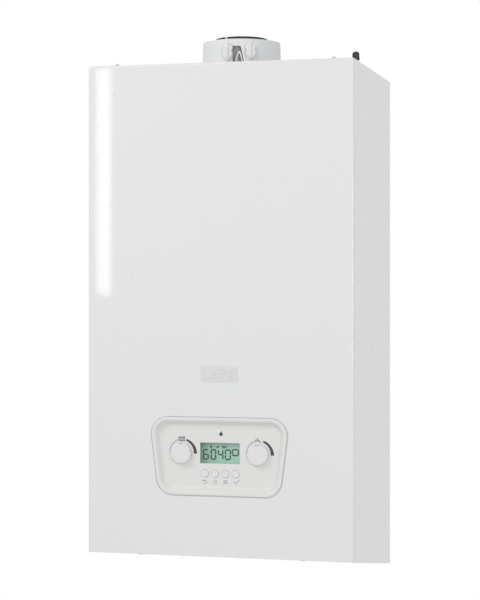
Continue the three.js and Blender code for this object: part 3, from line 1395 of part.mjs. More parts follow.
const PLUNGER_X = -BLOCK_X;
const PLUNGER_Z = BLOCK_BOTTOM + 45;
const PLUNGER_TRAVEL = 8;
const PLUNGER_DISC = 13;
const PLUNGER_DISC_THICKNESS = 6;
const PLUNGER_ROD = 4;
const PLUNGER_ROD_OUT = 22; // its rod in front of the block
const CHAMBER_RADIUS = PLUNGER_DISC + 3;
const CHAMBER_Y = BLOCK_FRONT_Y + 6;
const CHAMBER_DEPTH = PLUNGER_TRAVEL + 18;
const PASSAGE_HALF = 8; // half the width of the block's water passages
const PASSAGE_FLOOR = 6;
const MOTOR_HALF = 24; // half the diverter motor's width
const MOTOR_ABOVE = 32; // its top above the plunger
const MOTOR_DEPTH = 44;
const MOTOR_RADIUS = 7;

// Flow block: heating flow and hot-water tails, with the diverter's bore from its front.
const flowBlock = () =>
  cut(
    join(
      block(
        -BLOCK_X - BLOCK_WIDTH / 2, -BLOCK_X + BLOCK_WIDTH / 2,
        BLOCK_FRONT_Y, TAIL_Y + BLOCK_DEPTH / 2, BLOCK_BOTTOM, BLOCK_TOP,
      ),
      block(
        -BLOCK_X, -TAIL_SPACING + TAIL_RADIUS, TAIL_Y - BRIDGE_HALF, TAIL_Y + BRIDGE_HALF,
        BLOCK_BOTTOM, BLOCK_BOTTOM + BRIDGE_HEIGHT,
      ),
      tail(-2, BLOCK_BOTTOM + TAIL_IN_BLOCK),
      tail(-1, BLOCK_BOTTOM + TAIL_IN_BLOCK),
      barZ(BLOCK_SOCKET[0], -BLOCK_X, TAIL_Y, BLOCK_TOP - PAST, BLOCK_TOP + BLOCK_SOCKET[1], 16),
    ),
    barY(CHAMBER_RADIUS, PLUNGER_X, PLUNGER_Z, CHAMBER_Y, CHAMBER_Y + CHAMBER_DEPTH, 24),
    barY(PLUNGER_ROD + RUN_GAP, PLUNGER_X, PLUNGER_Z, BLOCK_FRONT_Y - PAST, CHAMBER_Y + PAST, 16),
    block(
      PLUNGER_X - PASSAGE_HALF, PLUNGER_X + PASSAGE_HALF,
      CHAMBER_Y + PASSAGE_FLOOR, CHAMBER_Y + PASSAGE_FLOOR + 2 * PASSAGE_HALF,
      BLOCK_BOTTOM + PASSAGE_FLOOR, PLUNGER_Z,
    ),
    block(
      PLUNGER_X - PASSAGE_FLOOR, PLUNGER_X + PASSAGE_FLOOR,
      CHAMBER_Y + PASSAGE_HALF, TAIL_Y + BLOCK_DEPTH / 2 + PAST,
      BLOCK_BOTTOM + PASSAGE_FLOOR, BLOCK_BOTTOM + 2 * PASSAGE_HALF,
    ),
  );

// Diverter plunger: a disc in the bore and a rod forward into the motor.
const diverterPlunger = () =>
  join(
    barY(
      PLUNGER_DISC, PLUNGER_X, PLUNGER_Z,
      CHAMBER_Y + 3, CHAMBER_Y + 3 + PLUNGER_DISC_THICKNESS, 24,
    ),
    barY(
      PLUNGER_ROD, PLUNGER_X, PLUNGER_Z, BLOCK_FRONT_Y - PLUNGER_ROD_OUT, CHAMBER_Y + 4, 16,
    ),
  );

const diverterMotor = () =>
  cut(
    slabY(
      rounded(
        rectangle(
          PLUNGER_X - MOTOR_HALF, PLUNGER_X + MOTOR_HALF,
          PLUNGER_Z - MOTOR_HALF, PLUNGER_Z + MOTOR_ABOVE,
        ),
        MOTOR_RADIUS, 2,
      ),
      BLOCK_FRONT_Y - SEAT_GAP - MOTOR_DEPTH,
      BLOCK_FRONT_Y - SEAT_GAP,
    ),
    barY(
      PLUNGER_ROD + RUN_GAP, PLUNGER_X, PLUNGER_Z,
      BLOCK_FRONT_Y - PLUNGER_ROD_OUT - 3, BLOCK_FRONT_Y + PAST, 16,
    ),
  );

const RELIEF_X = BLOCK_X - 8;
const RELIEF_Z = BLOCK_BOTTOM + 34;
const RELIEF_KNOB_RADIUS = 15;
const RELIEF_STEM = 4;
const RELIEF_BODY = 12; // radius of the valve's body
const RELIEF_BODY_LENGTH = 26;
const RELIEF_STEM_END = 44; // in front of the block
const RELIEF_KNOB_LENGTH = 22;
const FLUTE = 3; // radius of the grooves round the knob
const FLUTE_COUNT = 8;

// Return block: cold and heating-return tails, with the relief valve's body on its front.
const returnBlock = () =>
  join(
    block(
      BLOCK_X - BLOCK_WIDTH / 2, BLOCK_X + BLOCK_WIDTH / 2,
      BLOCK_FRONT_Y, TAIL_Y + BLOCK_DEPTH / 2, BLOCK_BOTTOM, BLOCK_TOP,
    ),
    block(
      TAIL_SPACING - TAIL_RADIUS, BLOCK_X, TAIL_Y - BRIDGE_HALF, TAIL_Y + BRIDGE_HALF,
      BLOCK_BOTTOM, BLOCK_BOTTOM + BRIDGE_HEIGHT,
    ),
    tail(1, BLOCK_BOTTOM + TAIL_IN_BLOCK),
    tail(2, BLOCK_BOTTOM + TAIL_IN_BLOCK),
    barY(
      RELIEF_BODY, RELIEF_X, RELIEF_Z, BLOCK_FRONT_Y - RELIEF_BODY_LENGTH, BLOCK_FRONT_Y + PAST, 20,
    ),
    barY(
      RELIEF_STEM, RELIEF_X, RELIEF_Z,
      BLOCK_FRONT_Y - RELIEF_STEM_END, BLOCK_FRONT_Y - RELIEF_BODY_LENGTH + PAST, 16,
    ),
  );

// Relief valve's fluted knob on its stem.
const reliefKnob = () => {
  const back = BLOCK_FRONT_Y - RELIEF_BODY_LENGTH - SEAT_GAP;
  const front = back - RELIEF_KNOB_LENGTH;
  const flutes = Array.from({ length: FLUTE_COUNT }, (_, i) => {
    const angle = (2 * Math.PI * i) / FLUTE_COUNT;
    return barY(
      FLUTE, RELIEF_X + (RELIEF_KNOB_RADIUS + 1) * Math.cos(angle),
      RELIEF_Z + (RELIEF_KNOB_RADIUS + 1) * Math.sin(angle), front - PAST, back + PAST, 8,
    );
  });
  return cut(
    barY(RELIEF_KNOB_RADIUS, RELIEF_X, RELIEF_Z, front, back, 32),
    barY(
      RELIEF_STEM + RUN_GAP, RELIEF_X, RELIEF_Z,
      BLOCK_FRONT_Y - RELIEF_STEM_END - RUN_GAP, back + PAST, 16,
    ),
    ...flutes,
  );
};

const PLATE_INSET = 16; // pack's back in front of the blocks' backs
const RIB_COUNT = 9;
const RIB_PITCH = 6;
const RIB = 2.6; // thickness of each rib
const RIB_OUT = 1.5;

// Plate heat exchanger: a ribbed pack that stands on both blocks.
const plateExchanger = () => {
  const z0 = BLOCK_TOP + SEAT_GAP;
  const half = BLOCK_X - PIPE_RADIUS - 12;
  const y0 = BLOCK_FRONT_Y + 4;
  const y1 = TAIL_Y + BLOCK_DEPTH / 2 - PLATE_INSET;
  const ribs = Array.from({ length: RIB_COUNT }, (_, i) => {
    const z = z0 + 2 + i * RIB_PITCH;
    return block(-half - RIB_OUT, half + RIB_OUT, y0 - RIB_OUT, y1 + RIB_OUT, z, z + RIB);
  });
  const water = block(
    -half + PLATE_WALL, half - PLATE_WALL, y0 + PLATE_WALL, y1 - PLATE_WALL,
    z0 + PLATE_WALL, z0 + PLATE_PACK_HEIGHT - PLATE_WALL,
  );
  const port = (x) => barZ(PLATE_PORT, x, (y0 + y1) / 2, z0 - PAST, z0 + PLATE_WALL + PAST, 14);
  const portX = half - PLATE_WALL - PLATE_PORT;
  return cut(
    join(block(-half, half, y0, y1, z0, z0 + PLATE_PACK_HEIGHT), ...ribs),
    water, port(-portX), port(portX),
  );
};

// Pump volute, open at the front for the motor, standing on the return block.
const pumpBody = () =>
  cut(
    join(
      barY(PUMP_RADIUS, PUMP_X, PUMP_Z, PUMP_Y, PUMP_BACK_Y, 32),
      block(
        PUMP_LEG_X - 12, PUMP_LEG_X + 12, PUMP_BACK_Y - 24, PUMP_BACK_Y + 20,
        BLOCK_TOP + SEAT_GAP, PUMP_Z - PUMP_RADIUS * 0.6,
      ),
      block(
        PUMP_LEG_X - 12, PUMP_LEG_X + 12, PUMP_BACK_Y - 1, VESSEL_FRONT_Y - SEAT_GAP,
        PUMP_Z - 12, PUMP_Z + 12,
      ),
      barZ(PIPE_RADIUS + 4, PUMP_X, PUMP_Y + 18, PUMP_Z + PUMP_RADIUS - 6, PUMP_Z + PUMP_RADIUS + 10, 16),
    ),
    barY(
      PUMP_RADIUS - PUMP_WALL - 3, PUMP_X, PUMP_Z,
      PUMP_Y - 1, PUMP_BACK_Y - PUMP_WALL, 32,
    ),
  );

const pumpMotor = () =>
  cut(
    join(
      barY(PUMP_RADIUS, PUMP_X, PUMP_Z, PUMP_Y - SEAT_GAP - 6, PUMP_Y - SEAT_GAP, 32),
      barY(
        PUMP_MOTOR_RADIUS, PUMP_X, PUMP_Z, PUMP_Y - SEAT_GAP - PUMP_MOTOR_DEPTH,
        PUMP_Y - SEAT_GAP - 5, 32,
      ),
      block(
        PUMP_X - 26, PUMP_X + 26, PUMP_Y - SEAT_GAP - PUMP_MOTOR_DEPTH + 4, PUMP_Y - SEAT_GAP - 14,
        PUMP_Z + 20, PUMP_Z + PUMP_MOTOR_RADIUS + 12,
      ),
    ),
    barY(6 + RUN_GAP, PUMP_X, PUMP_Z, PUMP_Y - PUMP_MOTOR_DEPTH + 10, PUMP_Y + 1, 16),
  );

// Pump rotor: a bladed wheel in the volute on a shaft from the motor.
const pumpRotor = () => {
  const wheel = PUMP_RADIUS - PUMP_WALL - 9;
  const blades = Array.from({ length: 6 }, (_, i) =>
    toSolid(
      new THREE.BoxGeometry(2.4, 12, wheel - 9)
        .rotateY(0.4)
        .translate(0, 0, (wheel + 7) / 2)
        .rotateY((Math.PI * i) / 3)
        .translate(PUMP_X, PUMP_Y + 16, PUMP_Z),
    ),
  );
  return join(
    barY(wheel, PUMP_X, PUMP_Z, PUMP_Y + 6, PUMP_Y + 10.1, 28),
    barY(6, PUMP_X, PUMP_Z, PUMP_Y - PUMP_MOTOR_DEPTH + 11, PUMP_Y + 22, 16),
    ...blades,
  );
};

// Condensate bottle under the drum's drain, with its outlet down through the bottom plate.
const condensateTrap = () => {
  const top = DRAIN_LOW - SEAT_GAP;
  return turnedZ(
    [
      [0, TRAP_END],
      [PIPE_RADIUS, TRAP_END],
      [PIPE_RADIUS, TRAP_BOTTOM - 6],
      [TRAP_RADIUS, TRAP_BOTTOM + 4],
      [TRAP_RADIUS, top - 26],
      [PIPE_RADIUS + 4, top - 14],
      [PIPE_RADIUS + 4, top],
      [0, top],
    ],
    TRAP_X,
    TRAP_Y,
    24,
  );
};

const ELBOW = 11; // half the height and depth of the coil's end fittings
const ELBOW_WALL = 2;

// Heating flow pipe: the coil's left end down to the flow block.
const flowPipe = () => {
  const x = -COIL_TAIL - SEAT_GAP - PIPE_RADIUS - ELBOW_WALL;
  const elbow = block(
    x - PIPE_RADIUS - ELBOW_WALL, x + PIPE_RADIUS + ELBOW_WALL, COIL_END_Y - ELBOW, COIL_END_Y + ELBOW,
    COIL_LOW_Z - ELBOW, COIL_LOW_Z + ELBOW,
  );
  return join(
    elbow,
    pipe(
      [
        [x, COIL_END_Y, COIL_LOW_Z - ELBOW + PAST],
        [x, COIL_END_Y, COIL_LOW_Z - 60],
        [-BLOCK_X, TAIL_Y, BLOCK_TOP + 90],
        [-BLOCK_X, TAIL_Y, BLOCK_TOP + BLOCK_SOCKET[1] + SEAT_GAP],
      ],
      PIPE_RADIUS,
    ),
  );
};

// Return pipe: the pump's outlet up to the coil's right end.
const returnPipe = () => {
  const x = COIL_TAIL + SEAT_GAP + PIPE_RADIUS + ELBOW_WALL;
  const elbow = block(
    x - PIPE_RADIUS - ELBOW_WALL, x + PIPE_RADIUS + ELBOW_WALL, COIL_START_Y - ELBOW, COIL_START_Y + ELBOW,
    COIL_LOW_Z - ELBOW, COIL_LOW_Z + ELBOW,
  );
  return join(
    elbow,
    pipe(
      [
        [x, COIL_START_Y, COIL_LOW_Z - ELBOW + PAST],
        [x, COIL_START_Y, COIL_LOW_Z - 28],
        [PUMP_X, PUMP_Y + 18, COIL_LOW_Z - 42],
        [PUMP_X, PUMP_Y + 18, PUMP_Z + PUMP_RADIUS + 10 + SEAT_GAP],
      ],
      PIPE_RADIUS,
    ),
  );
};

// Gas pipe: the middle tail up the right side to the valve.
const gasPipe = () =>
  join(
    tail(0, BLOCK_BOTTOM),
    pipe(
      [
        [0, TAIL_Y, BLOCK_BOTTOM - 6],
        [0, TAIL_Y, BLOCK_BOTTOM + 22],
        [0, GAS_RUN_Y, BLOCK_BOTTOM + 60],
        [0, GAS_RUN_Y, GAS_RUN_Z],
        [VALVE_X, GAS_RUN_Y, GAS_RUN_Z],
        [VALVE_X, GAS_RUN_Y, VALVE_LOW - 50],
        [VALVE_X, VALVE_Y, VALVE_LOW - 34],
        [VALVE_X, VALVE_Y, VALVE_LOW - GAS_SPIGOT_LENGTH - SEAT_GAP],
      ],
      GAS_PIPE,
    ),
  );

// ---- assembly ----
const boiler = new THREE.Group();
boiler.position.z = -HANG_HEIGHT;
boiler.add(
  part("front_cover", frontCover(), caseWhite),
  part("badge_plate", badgePlate(), badgeSilver),
  part("cover_screw_left", coverScrew(-COVER_SCREW_X), steelBright),
  part("cover_screw_right", coverScrew(COVER_SCREW_X), steelBright),
  part("wall_bracket", wallBracket(), zincSheet),
  part("back_panel", backPanel(), zincSheet),
  part("frame_left", frameSide(-1), zincSheet),
  part("frame_right", frameSide(1), zincSheet),
  part("top_plate", topPlate(), zincSheet),
  part("bottom_plate", bottomPlate(), zincSheet),
  part("cover_stud_left", coverStud(-STUD_X), steelBright),
  part("cover_stud_right", coverStud(STUD_X), steelBright),
  part("control_fascia", controlFascia(), trimWhite),
  part("lcd_window", lcdWindow(), glassGreen),
  part("lcd_module", lcdModule(), glassGreen),
  part("knob_heating", knob(-KNOB_X), trimWhite),
  part("knob_hot_water", knob(KNOB_X), trimWhite),
  part("encoder_heating", encoder(-KNOB_X), compositeBlack),
  part("encoder_hot_water", encoder(KNOB_X), compositeBlack),
  part("display_board", displayBoard(), boardGreen),
  part("control_box", controlBox(), boxGrey),
  part("main_board", mainBoard(), boardGreen),
  part("flue_collar", flueCollar(), turretWhite),
  part("flue_tube", flueTube(), compositeBlack),
  part("flue_seal", flueSeal(), sealBlack),
  part("test_plug_left", testPlug(PLUG_LEFT_X), turretWhite),
  part("test_plug_right", testPlug(PLUG_RIGHT_X), turretWhite),
  part("exchanger_shell", exchangerShell(), steelBright),
  part("exchanger_coil", exchangerCoil(), steelBright),
  part("burner_door", burnerDoor(), castAluminium),
  part("burner", burner(), steelBright),
  part("ignition_electrode", ignitionElectrode(), trimWhite),
  part("fan_housing", fanHousing(), castAluminium),
  part("fan_impeller", fanImpeller(), compositeBlack),
  part("fan_motor", fanMotor(), compositeBlack),
  part("gas_air_mixer", mixer(), compositeBlack),
  part("air_silencer", airSilencer(), compositeBlack),
  part("gas_valve", gasValve(), castAluminium),
  part("gas_injector_pipe", gasInjectorPipe(), steelBright),
  part("gas_pipe", gasPipe(), copperPipe),
  part("expansion_vessel", expansionVessel(), vesselRed),
  part("charge_valve", chargeValve(), brassYellow),
  part("valve_cap", valveCap(), sealBlack),
  part("flow_block", flowBlock(), brassYellow),
  part("diverter_plunger", diverterPlunger(), steelBright),
  part("diverter_motor", diverterMotor(), compositeBlack),
  part("return_block", returnBlock(), brassYellow),
  part("relief_knob", reliefKnob(), knobRed),
  part("plate_exchanger", plateExchanger(), steelBright),
  part("pump_body", pumpBody(), compositeBlack),
  part("pump_motor", pumpMotor(), castAluminium),
  part("pump_rotor", pumpRotor(), steelBright),
  part("condensate_trap", condensateTrap(), compositeBlack),
  part("flow_pipe", flowPipe(), copperPipe),
  part("return_pipe", returnPipe(), copperPipe),
);
["button_back", "button_reset", "button_menu", "button_ok"].forEach((name, k) => {
  boiler.add(part(name, button(k), trimWhite));
});

const combiBoiler = new THREE.Group();
combiBoiler.add(boiler);

export default combiBoiler;
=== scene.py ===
"""Looks of a wall-hung combination boiler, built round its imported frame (metres, +Z up, front at -Y)."""
from math import atan2, cos, hypot, pi, radians, sin, tan

import bmesh
import bpy
from mathutils import Matrix, Vector


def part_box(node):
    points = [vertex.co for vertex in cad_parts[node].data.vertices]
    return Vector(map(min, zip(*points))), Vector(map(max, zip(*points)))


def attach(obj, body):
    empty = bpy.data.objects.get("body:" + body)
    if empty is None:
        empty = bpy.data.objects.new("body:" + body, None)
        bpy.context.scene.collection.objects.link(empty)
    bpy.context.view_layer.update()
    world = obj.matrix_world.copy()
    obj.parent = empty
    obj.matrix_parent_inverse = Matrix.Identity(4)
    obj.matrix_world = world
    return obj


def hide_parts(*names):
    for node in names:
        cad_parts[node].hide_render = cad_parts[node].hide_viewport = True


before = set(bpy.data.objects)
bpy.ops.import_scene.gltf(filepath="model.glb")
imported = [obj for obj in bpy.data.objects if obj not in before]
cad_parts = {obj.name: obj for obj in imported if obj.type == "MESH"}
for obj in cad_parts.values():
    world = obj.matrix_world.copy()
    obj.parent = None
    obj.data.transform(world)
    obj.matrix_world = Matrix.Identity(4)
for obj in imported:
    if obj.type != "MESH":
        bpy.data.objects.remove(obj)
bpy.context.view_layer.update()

MM = 0.001

# ---- places from the frame, and real sizes in metres ----
COVER_LOW, COVER_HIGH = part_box("front_cover")
FASCIA_LOW, FASCIA_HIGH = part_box("control_fascia")
HALF_WIDTH = COVER_HIGH[0]
CASE_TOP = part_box("top_plate")[1][2] + 1.5 * MM
CASE_HEIGHT = 702 * MM
FLOOR_OF_CASE = CASE_TOP - CASE_HEIGHT  # level of the case's lower front edge
CASE_FRONT = -285 * MM
CASE_BACK = COVER_HIGH[1]
SHEET = 1.2 * MM
EDGE_RADIUS = 4.5 * MM


def at(x, z):
    """A place on the front, in millimetres from the middle and from the case's lower edge."""
    return x * MM, z * MM + FLOOR_OF_CASE


# ---- meshes ----
def mesh_object(name, bm, material, smooth_angle=32.0, weighted=True):
    """A new object from a bmesh, its flat faces kept flat and its rounded ones smooth."""
    bmesh.ops.remove_doubles(bm, verts=bm.verts, dist=1e-6)
    bmesh.ops.recalc_face_normals(bm, faces=bm.faces)
    mesh = bpy.data.meshes.new(name)
    bm.to_mesh(mesh)
    bm.free()
    mesh.materials.append(material)
    for polygon in mesh.polygons:
        polygon.use_smooth = True
    mesh.set_sharp_from_angle(angle=radians(smooth_angle))
    piece = bpy.data.objects.new(name, mesh)
    bpy.context.collection.objects.link(piece)
    if weighted:
        keep_flat(piece)
    return piece


def apply_modifiers(piece):
    """Turn the object's modifiers into its mesh."""
    graph = bpy.context.evaluated_depsgraph_get()
    result = bpy.data.meshes.new_from_object(piece.evaluated_get(graph), depsgraph=graph)
    old = piece.data
    piece.modifiers.clear()
    piece.data = result
    result.name = old.name
    bpy.data.meshes.remove(old)
    result.name = piece.name
    return piece


def keep_flat(piece):
    """Weight the normals by face area, so that large flat faces shade flat up to their rounded edges."""
    modifier = piece.modifiers.new("weight", "WEIGHTED_NORMAL")
    modifier.keep_sharp = True
    modifier.weight = 90
    return apply_modifiers(piece)


def soften(piece, width, segments=2, angle=35.0):
    """Round the object's sharp edges."""
    modifier = piece.modifiers.new("round", "BEVEL")
    modifier.width = width
    modifier.segments = segments
    modifier.limit_method = "ANGLE"
    modifier.angle_limit = radians(angle)
    modifier.harden_normals = False
    apply_modifiers(piece)
    for polygon in piece.data.polygons:
        polygon.use_smooth = True
    piece.data.set_sharp_from_angle(angle=radians(45))
    return keep_flat(piece)


def carve(piece, *tools, operation="DIFFERENCE"):
    """Cut the tools out of the piece, and throw the tools away."""
    for tool in tools:
        modifier = piece.modifiers.new("cut", "BOOLEAN")
        modifier.operation = operation
        modifier.solver = "EXACT"
        modifier.object = tool
        apply_modifiers(piece)
        bpy.data.objects.remove(tool, do_unlink=True)
    bm = bmesh.new()
    bm.from_mesh(piece.data)
    bmesh.ops.remove_doubles(bm, verts=bm.verts, dist=2e-6)
    bmesh.ops.dissolve_degenerate(bm, edges=bm.edges, dist=1e-6)
    bm.to_mesh(piece.data)
    bm.free()
    for polygon in piece.data.polygons:
        polygon.use_smooth = True
    piece.data.set_sharp_from_angle(angle=radians(32))
    return keep_flat(piece)


def rectangle(x0, x1, z0, z1):
    return [(x0, z0), (x1, z0), (x1, z1), (x0, z1)]


def rounded(corners, radius, steps=8):
    """An outline's corners turned into arcs; radius is one value or one for each corner."""
    radii = radius if isinstance(radius, (list, tuple)) else [radius] * len(corners)
    points = []
    for i, corner in enumerate(corners):
        here = Vector(corner)
        back = (Vector(corners[i - 1]) - here).normalized()
        ahead = (Vector(corners[(i + 1) % len(corners)]) - here).normalized()
        if radii[i] <= 0:
            points.append(tuple(here))
            continue
        half = back.angle(ahead) / 2
        start = here + back * (radii[i] / tan(half))
        end = here + ahead * (radii[i] / tan(half))
        centre = here + (back + ahead).normalized() * (radii[i] / sin(half))
        a, b = start - centre, end - centre
        sweep = atan2(a.x * b.y - a.y * b.x, a.dot(b))
        for k in range(steps + 1):
            t = sweep * k / steps
            points.append((centre.x + a.x * cos(t) - a.y * sin(t), centre.y + a.x * sin(t) + a.y * cos(t)))
    return points


def inset(corners, distance):
    """An outline's corners moved inwards by one distance."""
    moved = []
    for i, corner in enumerate(corners):
        here = Vector(corner)
        back = (Vector(corners[i - 1]) - here).normalized()
        ahead = (Vector(corners[(i + 1) % len(corners)]) - here).normalized()
        half = back.angle(ahead) / 2
        moved.append(tuple(here + (back + ahead).normalized() * (distance / sin(half))))
    return moved


def loft(bm, rings, closed=True, cap_start=True, cap_end=True):
    """Faces between rings of equally many points; each ring is a list of (x, y, z)."""
    loops = [[bm.verts.new(point) for point in ring] for ring in rings]
    count = len(rings[0])
    for first, second in zip(loops, loops[1:]):
        for i in range(count if closed else count - 1):
            j = (i + 1) % count
            bm.faces.new((first[i], first[j], second[j], second[i]))
    if cap_start:
        bm.faces.new(loops[0])
    if cap_end:
        bm.faces.new(loops[-1])
    return loops


def slab(name, outline, y0, y1, material, **options):
    """A plate of an (x, z) outline from y0 to y1."""
    bm = bmesh.new()
    loft(bm, [[(x, y0, z) for x, z in outline], [(x, y1, z) for x, z in outline]])
    return mesh_object(name, bm, material, **options)


def turned(name, profile, centre, material, axis="Y", sides=96, **options):
    """A turned piece. Its profile is (radius, distance along the axis), closed on itself or on the axis."""
    bm = bmesh.new()
    rings = []
    for radius, along in profile:
        ring = []
        for k in range(sides):
            a = 2 * pi * k / sides
            u, v = radius * cos(a), radius * sin(a)
            if axis == "Y":
                ring.append((centre[0] + u, along, centre[2] + v))
            else:
                ring.append((centre[0] + u, centre[1] + v, along))
        rings.append(ring)
    loft(bm, rings, cap_start=False, cap_end=False)
    return mesh_object(name, bm, material, **options)


def ride(piece, body, *nodes, slot=None):
    """Let the piece move with its body and stand for its nodes. The slot is not used."""
    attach(piece, body)
    if nodes:
        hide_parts(*nodes)
    return piece


# ---- finishes ----
def shade(name, colour, roughness=0.5, metallic=0.0, coat=0.0, coat_roughness=0.06, specular=0.5):
    """A finish: its material, its node tree and its shader."""
    material = bpy.data.materials.new(name)
    material.use_nodes = True
    tree = material.node_tree
    shader = tree.nodes["Principled BSDF"]
    shader.inputs["Base Color"].default_value = (*colour, 1)
    shader.inputs["Roughness"].default_value = roughness
    shader.inputs["Metallic"].default_value = metallic
    shader.inputs["Coat Weight"].default_value = coat
    shader.inputs["Coat Roughness"].default_value = coat_roughness
    shader.inputs["Specular IOR Level"].default_value = specular
    return material, tree, shader


def noise(tree, scale, detail=2.0, stretch=(1, 1, 1), kind="ShaderNodeTexNoise"):
    """A noise fixed to the piece itself; scale is in repeats per metre."""
    place = tree.nodes.new("ShaderNodeTexCoord")
    mapping = tree.nodes.new("ShaderNodeMapping")
    mapping.inputs["Scale"].default_value = stretch
    pattern = tree.nodes.new(kind)
    pattern.inputs["Scale"].default_value = scale
    if kind == "ShaderNodeTexNoise":
        pattern.inputs["Detail"].default_value = detail
    tree.links.new(place.outputs["Object"], mapping.inputs["Vector"])
    tree.links.new(mapping.outputs["Vector"], pattern.inputs["Vector"])
    return pattern


def spread(tree, value, low, high, start=0.3, end=0.7):
    """A 0-1 value turned into one between low and high."""
    span = tree.nodes.new("ShaderNodeMapRange")
    span.inputs["From Min"].default_value = start
    span.inputs["From Max"].default_value = end
    span.inputs["To Min"].default_value = low
    span.inputs["To Max"].default_value = high
    tree.links.new(value, span.inputs["Value"])
    return span.outputs["Result"]


def tint(tree, shader, value, first, second, start=0.3, end=0.7):
    """The colour goes from the first to the second as the value goes from start to end."""
    ramp = tree.nodes.new("ShaderNodeValToRGB")
    ramp.color_ramp.elements[0].position = start
    ramp.color_ramp.elements[0].color = (*first, 1)
    ramp.color_ramp.elements[1].position = end
    ramp.color_ramp.elements[1].color = (*second, 1)
    tree.links.new(value, ramp.inputs["Fac"])
    tree.links.new(ramp.outputs["Color"], shader.inputs["Base Color"])
    return ramp


def relief(tree, shader, value, distance, strength=1.0, below=None):
    """A fine relief on the surface; distance is its height in metres."""
    bump = tree.nodes.new("ShaderNodeBump")
    bump.inputs["Distance"].default_value = distance
    bump.inputs["Strength"].default_value = strength
    tree.links.new(value, bump.inputs["Height"])
    if below:
        tree.links.new(below.outputs["Normal"], bump.inputs["Normal"])
    tree.links.new(bump.outputs["Normal"], shader.inputs["Normal"])
    return bump


def sheet_paint(name, colour):
    """Stoved gloss paint on steel sheet, with a very slow waviness."""
    material, tree, shader = shade(name, colour, 0.3, coat=0.5, coat_roughness=0.04)
    relief(tree, shader, noise(tree, 9, 1).outputs[0], 0.15 * MM, 0.2)
    tree.links.new(spread(tree, noise(tree, 60).outputs[0], 0.27, 0.34), shader.inputs["Roughness"])
    return material


def moulded(name, colour, roughness=0.42, grain=0.02, coat=0.0, scale=1600):
    """Moulded plastic with a fine grain."""
    material, tree, shader = shade(name, colour, roughness, coat=coat, coat_roughness=0.12)
    relief(tree, shader, noise(tree, scale, 3).outputs[0], grain * MM, 0.5)
    rough = spread(tree, noise(tree, 90).outputs[0], roughness - 0.05, roughness + 0.05)
    tree.links.new(rough, shader.inputs["Roughness"])
    return material


def brushed(name, colour, roughness=0.3, stretch=(1, 1, 40), scale=60):
    """Metal with a fine lengthwise grain."""
    material, tree, shader = shade(name, colour, roughness, metallic=1.0)
    grain = noise(tree, scale, 4, stretch).outputs[0]
    tree.links.new(spread(tree, grain, roughness - 0.08, roughness + 0.1), shader.inputs["Roughness"])
    relief(tree, shader, grain, 0.01 * MM, 0.4)
    darker = tuple(c * 0.9 for c in colour)
    tint(tree, shader, grain, darker, colour)
    return material


def galvanised(name):
    """Zinc-coated sheet with its crystal spangle."""
    material, tree, shader = shade(name, (0.62, 0.64, 0.66), 0.38, metallic=1.0)
    cells = noise(tree, 130, kind="ShaderNodeTexVoronoi").outputs["Color"]
    tint(tree, shader, cells, (0.50, 0.52, 0.54), (0.68, 0.70, 0.72), 0.1, 0.9)
    tree.links.new(spread(tree, cells, 0.3, 0.46, 0, 1), shader.inputs["Roughness"])
    relief(tree, shader, noise(tree, 260, 2).outputs[0], 0.01 * MM, 0.3)
    return material


def cast(name, colour, roughness=0.5):
    """Die-cast metal with its grainy skin."""
    material, tree, shader = shade(name, colour, roughness, metallic=0.9)
    relief(tree, shader, noise(tree, 700, 4).outputs[0], 0.06 * MM, 0.6)
    tint(tree, shader, noise(tree, 40, 3).outputs[0], tuple(c * 0.82 for c in colour), colour)
    tree.links.new(spread(tree, noise(tree, 200).outputs[0], roughness - 0.08, roughness + 0.08),
                   shader.inputs["Roughness"])
    return material


def clear_pane():
    """A thin clear window: it lets the light through and mirrors a little."""
    material = bpy.data.materials.new("clear_pane")
    material.use_nodes = True
    tree = material.node_tree
    tree.nodes.clear()
    out = tree.nodes.new("ShaderNodeOutputMaterial")
    through = tree.nodes.new("ShaderNodeBsdfTransparent")
    through.inputs["Color"].default_value = (0.93, 0.97, 0.95, 1)
    gloss = tree.nodes.new("ShaderNodeBsdfGlossy")
    smear = spread(tree, noise(tree, 40, 3).outputs[0], 0.02, 0.06)
    tree.links.new(smear, gloss.inputs["Roughness"])
    edge = tree.nodes.new("ShaderNodeFresnel")
    edge.inputs["IOR"].default_value = 1.45
    mix = tree.nodes.new("ShaderNodeMixShader")
    tree.links.new(edge.outputs["Fac"], mix.inputs["Fac"])
    tree.links.new(through.outputs["BSDF"], mix.inputs[1])
    tree.links.new(gloss.outputs["BSDF"], mix.inputs[2])
    tree.links.new(mix.outputs["Shader"], out.inputs["Surface"])
    return material


